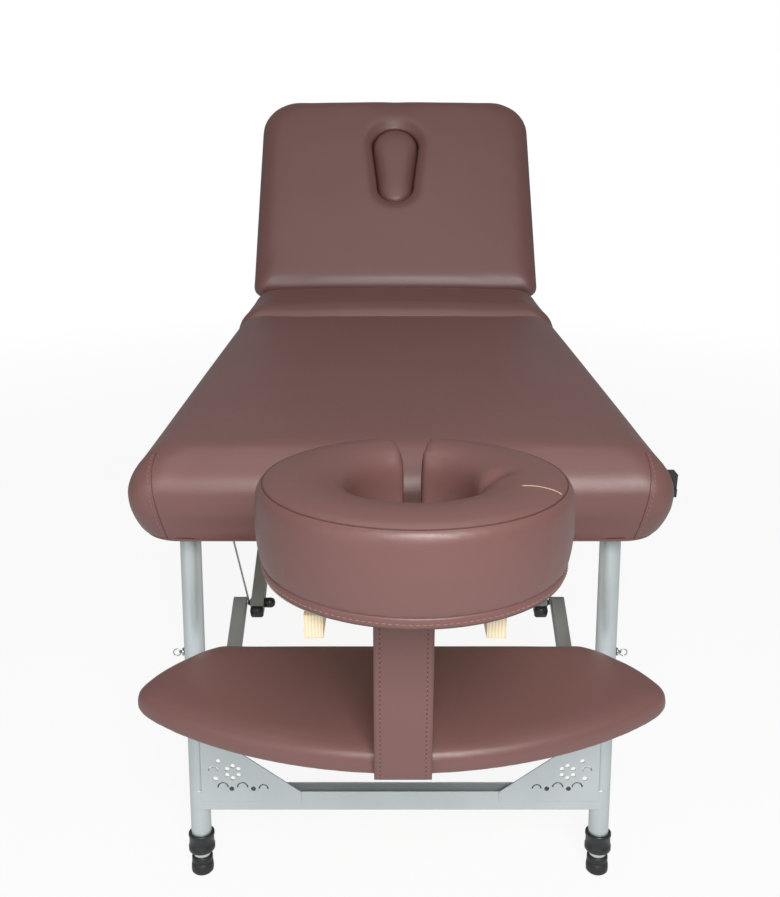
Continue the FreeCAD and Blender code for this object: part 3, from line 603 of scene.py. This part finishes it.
# Near cushion: one thick foam slab under one cover that rolls over the frame's front and sides. A wrapped
# corner panel meets the front in an upright stitched seam at each side, and the latch plates, screwed
# through to the rail, press the cover in.
def box_outline(x_half, y0, y1, corner0, corner1):
    """A rounded rectangle, corner0 at its y0 end and corner1 at its y1 end."""
    points = []
    for cx, cy, radius, first in ((x_half, y1, corner1, 0), (-x_half, y1, corner1, 90),
                                  (-x_half, y0, corner0, 180), (x_half, y0, corner0, 270)):
        centre_x = cx - math.copysign(radius, cx)
        centre_y = cy - radius if cy == y1 else cy + radius
        for k in range(9):
            turn = math.radians(first + 90 * k / 8)
            points.append((centre_x + radius * math.cos(turn), centre_y + radius * math.sin(turn)))
    return points


def box_loops(x_half, y0, y1, levels):
    """Loops for closed_form. A level holds its height, its insets at the sides, the y0 end and the y1 end,
    and its corner radius at the y0 and y1 ends."""
    loops = []
    for z, side, first, last, first_corner, last_corner in levels:
        outline = box_outline(x_half - side, y0 + first, y1 - last, first_corner, last_corner)
        loops.append([(x, y, z) for x, y in outline])
    return loops


def rolled(wall, top, high, *ends):
    """Wall levels, then a quarter roll of the given height from the last level in to the end values."""
    levels = list(wall)
    start = wall[-1][1:]
    for k in range(1, 10):
        turn = math.radians(10 * k)
        pull = 1 - math.cos(turn)
        level = [top - high + high * math.sin(turn)]
        level += [a + (b - a) * pull for a, b in zip(start, ends)]
        levels.append(level)
    return levels


def hollow(x_half, y0, y1, corner, z0, z1):
    """The room that the deck and rails take up inside a cushion."""
    outline = box_outline(x_half, y0, y1, corner, 0.001)
    return closed_form("hollow", [[(x, y, z) for x, y in outline] for z in (z0, z1)])


def crowned(points, x_half, middle_y, y_half, power=2):
    """How far the foam stands up at each point: 1 in a cushion's middle and 0 at its rim."""
    across = np.clip(1 - (points[:, 0] / x_half) ** 2, 0, 1)
    along = np.clip(1 - ((points[:, 1] - middle_y) / y_half) ** power, 0, 1)
    return across * along


TABLE_END, TABLE_HALF = -0.770, 0.350
UNDERSIDE, HELD_BELOW, FACE_FROM = 0.5008, 0.506, 0.59
RAIL_X, DECK_TOP, BELOW_RAILS = 0.3405, 0.5565, 0.40
FOAM_STEP = 0.006
wall = [(UNDERSIDE, 0.004, 0.003, 0.001, 0.066, 0.026), (0.505, 0.001, 0.000, 0.0, 0.062, 0.026),
        (0.520, -0.003, -0.005, 0.0, 0.050, 0.026), (0.540, -0.005, -0.010, 0.0, 0.040, 0.026),
        (0.560, -0.005, -0.012, 0.0, 0.036, 0.026)]
levels = rolled(wall, 0.615, 0.055, 0.052, 0.056, 0.026, 0.042, 0.018)
near_cushion = closed_form("near_cushion_cover", box_loops(TABLE_HALF, TABLE_END, 0.1595, levels))
even_out(near_cushion, FOAM_STEP)
inflate(near_cushion, 0.005, HELD_BELOW)
spots = points_of(near_cushion.data)
crown = crowned(spots, TABLE_HALF, -0.305, 0.465)
spots[:, 2] += np.where(spots[:, 2] > FACE_FROM, 0.005 * crown, 0.0)
plate_back, plate_y, plate_z, soft = 0.3496, 0.019, 0.020, 0.010
for latch_y, latch_z in ((-0.708, 0.557), (-0.210, 0.543)):
    beside = np.clip(np.abs(spots[:, 1] - latch_y) - plate_y, 0, 1)
    above = np.clip(np.abs(spots[:, 2] - latch_z) - plate_z, 0, 1)
    pressed = np.exp(-(beside / soft) ** 2 - (above / soft) ** 2)
    spots[:, 0] -= pressed * np.clip(spots[:, 0] - plate_back, 0, 1)
set_points(near_cushion, spots)
cut_out(near_cushion, hollow(RAIL_X, -0.7664, 0.1562, 0.0565, BELOW_RAILS, DECK_TOP))
upholster(near_cushion, 0, "near_half", 0.9, "near_cushion")
for hand, sign in HANDS:
    route = [(sign * 0.316, -0.735, 0.618), (sign * 0.315, -0.756, 0.604), (sign * 0.311, -0.776, 0.572),
             (sign * 0.306, -0.779, 0.540), (sign * 0.301, -0.772, 0.502)]
    path = on_cover(near_cushion, spaced(route, SEAM_STEP))
    # Painted shade along the groove of the corner seam.
    seam_line("near_corner_crease_" + hand, path, 0.0006, 0.0006, -0.0001, painted_crease_shade, "near_half")
    outer = [(x + sign * 0.005, y, z) for x, y, z in route]
    path = on_cover(near_cushion, spaced(outer, SEAM_STEP))
    stitching("near_corner_stitches_" + hand, path, 0.0065, 0.0050, 0.0006, thread, "near_half")


# Seat strip: the short fixed cushion beyond the fold, foam on the far half's deck. Its cover is rolled on
# all four top edges and drawn down over the same timber frame.
wall = [(UNDERSIDE, 0.003, 0.001, 0.001, 0.026, 0.026), (0.507, 0.000, 0.000, 0.0, 0.026, 0.026),
        (0.525, -0.005, 0.0, 0.0, 0.026, 0.026), (0.560, -0.006, 0.0, 0.0, 0.026, 0.026)]
levels = rolled(wall, 0.617, 0.050, 0.040, 0.028, 0.016, 0.018, 0.018)
seat_strip = closed_form("seat_strip_cover", box_loops(TABLE_HALF, 0.1608, 0.4590, levels))
even_out(seat_strip, FOAM_STEP)
inflate(seat_strip, 0.005, HELD_BELOW)
spots = points_of(seat_strip.data)
crown = crowned(spots, TABLE_HALF, 0.310, 0.149, 6)
spots[:, 2] += np.where(spots[:, 2] > FACE_FROM, 0.010 * crown, 0.0)
set_points(seat_strip, spots)
cut_out(seat_strip, hollow(RAIL_X, 0.1638, 0.55, 0.001, BELOW_RAILS, DECK_TOP))
upholster(seat_strip, 0, "far_half", 0.9, "seat_strip_cushion")


# Backrest: a thinner crowned cushion on a board, square at the seat and well rounded at the top corners.
# The cover is drawn down into the breathing hole, which leaves a soft valley round it.
HINGE = Vector((0.0, 0.468, 0.606))
RAISED = Matrix.Rotation(math.radians(50.0), 4, "X")
LIFT = Matrix.Translation(HINGE) @ RAISED @ Matrix.Translation(-HINGE)
KEY_LOW_Y, KEY_TOP_Y = HINGE.y + 0.313, HINGE.y + 0.447
HOLE = (0.046, 0.061)


def key_outline(low_r, top_r, z):
    """The breathing hole: two rounds of different size joined by straight sides."""
    tilt = math.asin((top_r - low_r) / (KEY_TOP_Y - KEY_LOW_Y))
    points = []
    for centre, radius, first, sweep in ((KEY_TOP_Y, top_r, -tilt, math.pi + 2 * tilt),
                                         (KEY_LOW_Y, low_r, math.pi + tilt, math.pi - 2 * tilt)):
        for k in range(25):
            turn = first + sweep * k / 24
            points.append((radius * math.cos(turn), centre + radius * math.sin(turn), z))
    return points


def key_distance(points, low_r, top_r):
    """How far points lie outside the breathing hole, seen from above."""
    along = np.clip((points[:, 1] - KEY_LOW_Y) / (KEY_TOP_Y - KEY_LOW_Y), 0, 1)
    centre = KEY_LOW_Y + along * (KEY_TOP_Y - KEY_LOW_Y)
    radius = low_r + along * (top_r - low_r)
    return np.hypot(points[:, 0], points[:, 1] - centre) - radius


wall = [(0.5605, 0.004, 0.002, 0.006, 0.024, 0.092), (0.566, -0.002, 0.0, -0.001, 0.024, 0.092),
        (0.576, -0.006, 0.0, -0.005, 0.024, 0.100)]
levels = [list(level) for level in rolled(wall, 0.617, 0.041, 0.034, 0.0, 0.036, 0.020, 0.086)]
roll_from, roll_high, roll_deep = 0.596, 0.021, 0.042
for level in levels:
    rise = min(max(0.0, (level[0] - roll_from) / roll_high), 1.0)
    level[2] += roll_deep * (1 - math.sqrt(1 - rise * rise))
backrest = closed_form("backrest_cover", box_loops(0.359, 0.4745, 1.0755, levels))
hole = closed_form("hole", [key_outline(*HOLE, z) for z in (0.54, 0.64)])
cut_out(backrest, hole)
even_out(backrest, 0.005)
inflate(backrest, 0.004, 0.563)
spots = points_of(backrest.data)
outside = key_distance(spots, *HOLE)
top = np.clip((spots[:, 2] - 0.585) / 0.03, 0, 1)
crown = crowned(spots, 0.36, 0.775, 0.30)
valley = np.exp(-(np.clip(outside, 0, 1) / 0.017) ** 2)
spots[:, 2] += top * (0.007 * crown - 0.010 * valley)
set_points(backrest, spots)
backrest.data.transform(LIFT)
upholster(backrest, 0, "backrest", 0.85, "backrest_cushion")

# Breathing hole plug: a loose keyhole-shaped pillow of foam in the same cover, domed on top. It is pushed
# into the hole and lifts straight out.
PLUG = (0.0446, 0.0600)
shoulder, dome_high, dome_deep = 0.5965, 0.013, 0.015
loops = []
for k in range(3):
    loops.append(key_outline(*PLUG, 0.5525 + 0.022 * k))
for k in range(1, 9):
    turn = math.radians(11 * k)
    pull = dome_deep * (1 - math.cos(turn))
    loops.append(key_outline(PLUG[0] - pull, PLUG[1] - pull, shoulder + dome_high * math.sin(turn)))
plug = closed_form("plug_cover", loops)
even_out(plug, 0.004)
inflate(plug, 0.003, 0.556)
spots = points_of(plug.data)
inside = np.clip(-key_distance(spots, *PLUG) / 0.045, 0, 1)
spots[:, 2] += np.where(spots[:, 2] > 0.595, 0.007 * inside * (2 - inside), 0.0)
set_points(plug, spots)
plug.data.transform(LIFT)
upholster(plug, 1, "breathing_plug", 0.8, "breathing_hole_plug")


# Cradle woodwork, decks and boards: lacquered birch plywood. Grain runs along the faces, thin plies show
# as dark and light lines on the cut edges.
PALE_PLY = (0.86, 0.76, 0.55, 1.0)
birch_figure = bpy.data.node_groups.new("birch_figure", "ShaderNodeTree")
nodes, links = birch_figure.nodes, birch_figure.links
where = nodes.new("ShaderNodeTexCoord")
stretch = placed(nodes, "ShaderNodeMapping", {"Scale": (70.0, 6.0, 70.0)})
figure = placed(nodes, "ShaderNodeTexNoise", {"Scale": 2.2, "Detail": 6.0, "Distortion": 0.6})
face_tone = nodes.new("ShaderNodeValToRGB")
face_tone.color_ramp.elements[0].position = 0.32
face_tone.color_ramp.elements[0].color = (0.74, 0.61, 0.39, 1.0)
face_tone.color_ramp.elements[1].position = 0.68
face_tone.color_ramp.elements[1].color = PALE_PLY
rough = placed(nodes, "ShaderNodeMapRange", {"To Min": 0.42, "To Max": 0.58})
relief = placed(nodes, "ShaderNodeBump", {"Strength": 0.2, "Distance": 0.0003})
broken = nodes.new("ShaderNodeBevel")
broken.samples = 4
broken.inputs["Radius"].default_value = 0.0012
links.new(where.outputs["Object"], stretch.inputs["Vector"])
links.new(stretch.outputs["Vector"], figure.inputs["Vector"])
for socket in (face_tone.inputs["Fac"], rough.inputs["Value"], relief.inputs["Height"]):
    links.new(figure.outputs["Fac"], socket)
links.new(broken.outputs["Normal"], relief.inputs["Normal"])
put_out(birch_figure, face_tone.outputs["Color"], rough.outputs["Result"], relief.outputs["Normal"])


def birch(name, stacked):
    """Lacquered plywood whose plies are stacked along one axis, X or Z, and show on the faces beside it."""
    material, shader, finish = finished(name, birch_figure)
    shader.inputs["Coat Weight"].default_value = 0.2
    shader.inputs["Coat Roughness"].default_value = 0.3
    nodes, links = material.node_tree.nodes, material.node_tree.links
    where = nodes.new("ShaderNodeTexCoord")
    plies = nodes.new("ShaderNodeTexWave")
    plies.bands_direction = stacked
    plies.inputs["Scale"].default_value = 105.0
    plies.inputs["Distortion"].default_value = 0.4
    ply_tone = nodes.new("ShaderNodeValToRGB")
    ply_tone.color_ramp.elements[0].color = (0.70, 0.57, 0.37, 1.0)
    ply_tone.color_ramp.elements[1].color = PALE_PLY
    facing = nodes.new("ShaderNodeNewGeometry")
    split = nodes.new("ShaderNodeSeparateXYZ")
    level = nodes.new("ShaderNodeMath")
    level.operation = "ABSOLUTE"
    which = nodes.new("ShaderNodeMix")
    which.data_type = "RGBA"
    links.new(where.outputs["Object"], plies.inputs["Vector"])
    links.new(plies.outputs["Fac"], ply_tone.inputs["Fac"])
    links.new(facing.outputs["Normal"], split.inputs["Vector"])
    links.new(split.outputs[stacked], level.inputs[0])
    links.new(level.outputs["Value"], which.inputs["Factor"])
    links.new(ply_tone.outputs["Color"], which.inputs["A"])
    links.new(finish.outputs["Colour"], which.inputs["B"])
    links.new(which.outputs["Result"], shader.inputs["Base Color"])
    return material


dress(birch("birch_sheet", "Z"), "near_deck", "far_deck", "backrest_board", "cradle_platform")
dress(birch("birch_arms", "X"), "cradle_arms", "cradle_dowels")
dress(silver, "cradle_rods")
dress(leather, "near_frame_rails", "far_frame_rails")


# Face cradle pad: a thick crescent of foam. A tall wall panel and a top panel meet in a plain seam round
# the outer rim, the top falls softly into the face hole, and a stitched flange runs round the bottom edge.
PAD_X, PAD_Y, PAD_Z = 0.010, TABLE_END - 0.233, 0.600
PAD_HALF_X, PAD_HALF_Y = 0.1565, 0.1405
HOLE_Y = PAD_Y + 0.005


def pad_section(turn, shrink):
    """One cross-section of the crescent at an angle from the rear gap: points from the hole outward and
    back underneath, as shares of the width and heights."""
    c, s = math.sin(turn), math.cos(turn)
    outer = np.array((PAD_X + PAD_HALF_X * c, PAD_Y + PAD_HALF_Y * s))
    rear, front = max(0.0, s), max(0.0, -s)
    inner = np.array((PAD_X + 0.064 * c, HOLE_Y + (0.076 - 0.012 * front) * s))
    profile = ((0.02, 0.002), (0.00, 0.025), (-0.01, 0.050), (0.02, 0.067), (0.08, 0.077), (0.20, 0.083),
               (0.40, 0.0865), (0.62, 0.087), (0.82, 0.085), (0.935, 0.081), (0.985, 0.074), (1.0, 0.060),
               (1.01, 0.040), (0.995, 0.018), (0.965, 0.003), (0.90, 0.0005), (0.5, 0.0), (0.1, 0.0005))
    points = []
    for across, high in profile:
        lift = high * (1 + 0.055 * front - 0.07 * rear)
        spot = inner + (outer - inner) * across
        points.append((spot[0], spot[1], PAD_Z + lift))
    if shrink < 1.0:
        middle = np.mean(points, axis=0)
        squeeze = np.array((1.0, shrink, shrink))
        points = [tuple(middle + (np.array(p) - middle) * squeeze) for p in points]
    return points


GAP = 9.0
first, last = math.radians(GAP), math.radians(360.0 - GAP)
half_tip, tip = math.radians(0.6), math.radians(1.2)
loops = [pad_section(first - tip, 0.80), pad_section(first - half_tip, 0.93)]
for k in range(97):
    loops.append(pad_section(first + (last - first) * k / 96, 1.0))
loops += [pad_section(last + half_tip, 0.93), pad_section(last + tip, 0.80)]
pad = closed_form("cradle_pad_cover", loops)
even_out(pad, 0.0045)
inflate(pad, 0.005, PAD_Z + 0.0065)
spots = points_of(pad.data)
pinch_x = (spots[:, 0] - PAD_X - 0.070) / 0.019
pinch_y = (spots[:, 1] - PAD_Y - 0.010) / 0.010
pinched = 0.012 * np.exp(-(pinch_x ** 2 + pinch_y ** 2))
spots[:, 2] -= np.where(spots[:, 2] > 0.64, pinched, 0.0)
spots[:, 2] = np.maximum(spots[:, 2], PAD_Z + 0.0004)
set_points(pad, spots)
upholster(pad, 1, "cradle_top", 0.85, "cradle_pad")
RIM_IN, FLANGE_IN = 0.0065, 0.0047
rim, flange, flange_thread = [], [], []
for k in range(181):
    turn = math.radians(14.0 + 332.0 * k / 180)
    c, s = math.sin(turn), math.cos(turn)
    rim_z = PAD_Z + 0.0835 * (1 - 0.055 * s)
    rim.append((PAD_X + (PAD_HALF_X - RIM_IN) * c, PAD_Y + (PAD_HALF_Y - RIM_IN) * s, rim_z))
    outward = Vector((c / (PAD_HALF_X - 0.0035), s / (PAD_HALF_Y - 0.0035), 0.0)).normalized()
    rear_rise = 0.0082 * min(max(0.0, (s - 0.3) / 0.35), 1.0)
    flange_z = PAD_Z - 0.0014 + rear_rise
    place = Vector((PAD_X + (PAD_HALF_X - FLANGE_IN) * c, PAD_Y + (PAD_HALF_Y - FLANGE_IN) * s, flange_z))
    flange.append((place, outward))
    flange_thread.append((place + outward * 0.0012 - Vector((0.0, 0.0, 0.0010)), outward))
path = on_cover(pad, spaced(rim, SEAM_STEP))
# Painted shade along the groove of the rim seam.
seam_line("cradle_rim_painted_shade", path, 0.0008, 0.0008, -0.0001, painted_crease_shade, "cradle_top")
seam_line("cradle_flange", flange, 0.0013, 0.0062, 0.0, leather, "cradle_top")
stitching("cradle_flange_stitches", flange_thread, 0.0060, 0.0046, 0.0006, thread, "cradle_top")
route = []
for k in range(13):
    share = k / 12
    route.append((PAD_X + 0.099 + 0.043 * share, PAD_Y - 0.040 - 0.013 * share ** 2, 0.70))
path = on_cover(pad, spaced(route, SEAM_STEP))
seam_line("cradle_cross_thread", path, 0.0005, 0.0005, 0.0002, pale_thread, "cradle_top")


# Arm shelf: a thin bow-fronted pad on a board, both wrapped in one cover. It is flat on top, has a soft
# rounded edge and hangs in the sling.
def arc_points(a, b, c, count):
    """Points along the circle from a through b to c."""
    (ax, ay), (bx, by), (cx, cy) = a, b, c
    d = 2 * (ax * (by - cy) + bx * (cy - ay) + cx * (ay - by))
    aa, bb, cc = ax * ax + ay * ay, bx * bx + by * by, cx * cx + cy * cy
    ux = (aa * (by - cy) + bb * (cy - ay) + cc * (ay - by)) / d
    uy = (aa * (cx - bx) + bb * (ax - cx) + cc * (bx - ax)) / d
    radius = math.hypot(ax - ux, ay - uy)
    start, middle, end = (math.atan2(y - uy, x - ux) for x, y in (a, b, c))
    sweep = (end - start) % (2 * math.pi)
    if (middle - start) % (2 * math.pi) > sweep:
        sweep -= 2 * math.pi
    marks = [start + sweep * k / count for k in range(count)]
    return [(ux + radius * math.cos(t), uy + radius * math.sin(t)) for t in marks]


def shelf_outline(grow, z):
    """The shelf's outline at one height, wider all round by grow."""
    half, end = 0.3275 + grow, TABLE_END
    back = end - 0.024 + grow
    front = end - 0.256 - grow
    tip, shoulder = end - 0.138, (half - 0.024, end - 0.086)
    corner = half - 0.090
    points = [(-corner + 2 * corner * k / 20, back) for k in range(20)]
    points += arc_points((corner, back), shoulder, (half, tip), 14)
    points += arc_points((half, tip), (0.0, front), (-half, tip), 48)
    points += arc_points((-half, tip), (-shoulder[0], shoulder[1]), (-corner, back), 14)
    points = np.array(points)
    for rounding in range(6):
        softer = (np.roll(points, 1, axis=0) + 2 * points + np.roll(points, -1, axis=0)) / 4
        points = np.where(np.abs(points[:, :1]) > half - 0.06, softer, points)
    return [(x, y, z) for x, y in points]


loops = [shelf_outline(-0.005, 0.3431), shelf_outline(-0.001, 0.3450), shelf_outline(0.0, 0.3500)]
edge_from, edge_high, edge_deep = 0.3560, 0.0150, 0.013
for k in range(10):
    turn = math.radians(10 * k)
    loops.append(shelf_outline(-edge_deep * (1 - math.cos(turn)), edge_from + edge_high * math.sin(turn)))
shelf = closed_form("arm_shelf_cover", loops)
even_out(shelf, 0.004)
inflate(shelf, 0.003, 0.345)
upholster(shelf, 1, "cradle", 0.8, "arm_shelf_pad", "arm_shelf_board")


# Sling: a wide doubled strap of the same cover, hung over the cradle's front and rear dowels and under the
# shelf. Both edges are topstitched where it hangs in front.
def over_dowel(d, z, radius, first, last, count):
    """Points of the strap's middle line round a dowel."""
    marks = [math.radians(first + (last - first) * k / count) for k in range(count + 1)]
    return [(TABLE_END - d - radius * math.cos(t), z + radius * math.sin(t)) for t in marks]


def strap_faces(rows, wide):
    """Faces of a strap of two layers of points, wide points to a row, closed all round."""
    faces = []
    layer = rows * wide
    for r in range(rows - 1):
        for c in range(wide - 1):
            a = r * wide + c
            faces.append((a, a + wide, a + wide + 1, a + 1))
            faces.append((layer + a, layer + a + 1, layer + a + wide + 1, layer + a + wide))
        a, b = r * wide, r * wide + wide - 1
        faces.append((a, layer + a, layer + a + wide, a + wide))
        faces.append((b, b + wide, layer + b + wide, layer + b))
    for c in range(wide - 1):
        a, b = c, layer - wide + c
        faces.append((a, a + 1, layer + a + 1, layer + a))
        faces.append((b, layer + b, layer + b + 1, b + 1))
    return faces


ROUND_DOWEL, BELOW_SHELF, BEHIND_SHELF = 0.0096, 0.3414, -0.7896
STRAP_WIDE, STRAP_HALF_THICK = 0.062, 0.0013
line = over_dowel(0.250, 0.563, ROUND_DOWEL, 190, 0, 16)
line += [(-1.0296, 0.50), (-1.0298, 0.44), (-1.0296, 0.40), (-1.0294, 0.356)]
line += [(-1.0288, 0.3472), (-1.0262, 0.3426)]
line += [(y, BELOW_SHELF) for y in (-1.0220, -0.96, -0.90, -0.84, -0.797)]
line += [(-0.7926, 0.3424), (-0.7902, 0.3460)]
line += [(BEHIND_SHELF, z) for z in (0.352, 0.41, 0.47)]
line += over_dowel(0.030, 0.526, ROUND_DOWEL, 180, 10, 16)
line = np.array([(0.0, y, z) for y, z in line])
run = spaced(line, 0.004)
tangent = np.gradient(run, axis=0)
tangent /= np.linalg.norm(tangent, axis=1, keepdims=True)
outward = np.stack([np.zeros(len(run)), tangent[:, 2], -tangent[:, 1]], axis=1)
columns = np.linspace(-STRAP_WIDE / 2, STRAP_WIDE / 2, 15)
thick = STRAP_HALF_THICK * np.clip(1.25 - np.abs(columns) / (STRAP_WIDE / 2) * 0.35, 0.6, 1.0)
points = []
for sign in (1.0, -1.0):
    for spot, normal in zip(run, outward):
        for x, half in zip(columns, thick):
            points.append((x, spot[1] + sign * normal[1] * half, spot[2] + sign * normal[2] * half))
sling = meshed("arm_shelf_strap", points, strap_faces(len(run), len(columns)), leather)
face_outward(sling.data)
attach(sling, "cradle")
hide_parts("arm_shelf_sling")
front = [k for k, spot in enumerate(run) if spot[1] < -1.015 and 0.345 < spot[2] < 0.572]
for hand, sign in HANDS:
    edge = []
    for k in front:
        spot = run[k] + outward[k] * STRAP_HALF_THICK
        edge.append((Vector((sign * 0.0245, spot[1], spot[2])), Vector(outward[k])))
    # Painted shade along the groove of each topstitched edge.
    seam_line("strap_painted_shade_" + hand, edge, 0.0005, 0.0005, 0.0, painted_crease_shade, "cradle")
    stitching("strap_stitches_" + hand, edge, 0.0055, 0.0042, 0.0006, thread, "cradle")


# Stay cables: steel wire of six strands laid round each other, from a fixing under the frame to each brace's
# knee. They are drawn straight and taut, as they are while the legs stand.
wire = moulded("wire_steel", (0.42, 0.43, 0.43), 1.0, 0.34, 900.0, 0.0001, 0.0001)
ANCHOR_Y, ANCHOR_Z, ANCHOR_INSET = {"near": -0.694, "far": 1.014}, 0.516, 0.044
STRANDS, LAY, STRAND_OUT, STRAND_RADIUS, STRAND_STEP = 6, 0.014, 0.00095, 0.00055, 0.0012
FIVE_WAYS = [2 * math.pi * corner / 5 for corner in range(5)]
for side, leg_x in LEG_X.items():
    for hand, sign in HANDS:
        start = Vector((sign * (leg_x - ANCHOR_INSET), ANCHOR_Y[side], ANCHOR_Z))
        knee = Vector((start.x, KNEE_Y[side], KNEE_Z))
        end = knee + (start - knee).normalized() * 0.006
        along = (end - start).normalized()
        across = along.orthogonal().normalized()
        other = along.cross(across)
        long = (end - start).length
        points, faces = [], []
        steps = int(long / STRAND_STEP)
        for strand in range(STRANDS):
            faces += tube_faces(len(points), steps + 1, len(FIVE_WAYS))
            for k in range(steps + 1):
                reach = long * k / steps
                swing = 2 * math.pi * (strand / STRANDS + reach / LAY)
                laid = across * math.cos(swing) + other * math.sin(swing)
                centre = start + along * reach + laid * STRAND_OUT
                for turn in FIVE_WAYS:
                    around = across * math.cos(turn) + other * math.sin(turn)
                    points.append(centre + around * STRAND_RADIUS)
        cable = meshed(side + "_" + hand + "_cable", points, faces, wire)
        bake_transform(cable)
        if hand == "left":
            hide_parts(side + "_stay_cables")


# Handles: a strap of black woven webbing on each half, screwed to the side rail at both ends with a plated
# pan head screw and bowed out a little between.
webbing = bpy.data.materials.new("black_webbing")
webbing.use_nodes = True
nodes, links = webbing.node_tree.nodes, webbing.node_tree.links
shader = nodes["Principled BSDF"]
shader.inputs["Roughness"].default_value = 0.8
where = nodes.new("ShaderNodeTexCoord")
ribs = nodes.new("ShaderNodeTexWave")
ribs.bands_direction = "Y"
ribs.inputs["Scale"].default_value = 160.0
ribs.inputs["Distortion"].default_value = 1.2
rib_tone = nodes.new("ShaderNodeValToRGB")
rib_tone.color_ramp.elements[0].color = (0.008, 0.008, 0.009, 1.0)
rib_tone.color_ramp.elements[1].color = (0.045, 0.045, 0.048, 1.0)
relief = placed(nodes, "ShaderNodeBump", {"Strength": 0.6, "Distance": 0.0006})
links.new(where.outputs["Object"], ribs.inputs["Vector"])
links.new(ribs.outputs["Fac"], rib_tone.inputs["Fac"])
links.new(rib_tone.outputs["Color"], shader.inputs["Base Color"])
links.new(ribs.outputs["Fac"], relief.inputs["Height"])
links.new(relief.outputs["Normal"], shader.inputs["Normal"])
HANDLE_Z, HANDLE_HALF, HANDLE_THICK, HANDLE_BOW, FLAT_END = 0.529, 0.015, 0.002, 0.006, 0.16
SCREW = ((0.0, 0.0060), (0.0010, 0.0060), (0.0012, 0.0045), (0.0022, 0.0038), (0.0028, 0.0020), (0.0029, 0.0))
rows, wide = 41, 7
for side, wall_x, y0, y1 in (("near", 0.353, -0.410, -0.250), ("far", 0.340, 0.570, 0.730)):
    points = []
    for face_x in (HANDLE_THICK, 0.0):
        for r in range(rows):
            share = r / (rows - 1)
            bow = 0.0
            if FLAT_END < share < 1 - FLAT_END:
                bow = HANDLE_BOW * max(0.0, math.sin(math.pi * (share - FLAT_END) / (1 - 2 * FLAT_END)))
            for c in range(wide):
                across = c / (wide - 1) * 2 - 1
                x = wall_x + face_x + bow - 0.0004 * abs(across) ** 6
                points.append((x, y0 + (y1 - y0) * share, HANDLE_Z + HANDLE_HALF * across))
    handle = meshed(side + "_webbing_handle", points, strap_faces(rows, wide), webbing)
    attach(handle, side + "_half")
    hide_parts(side + "_handle")
    for label, y in (("a", y0 + 0.012), ("b", y1 - 0.012)):
        turned(side + "_handle_screw_" + label, (wall_x + 0.0015, y, HANDLE_Z), (1.0, 0.0, 0.0), SCREW, zinc,
               side + "_half")
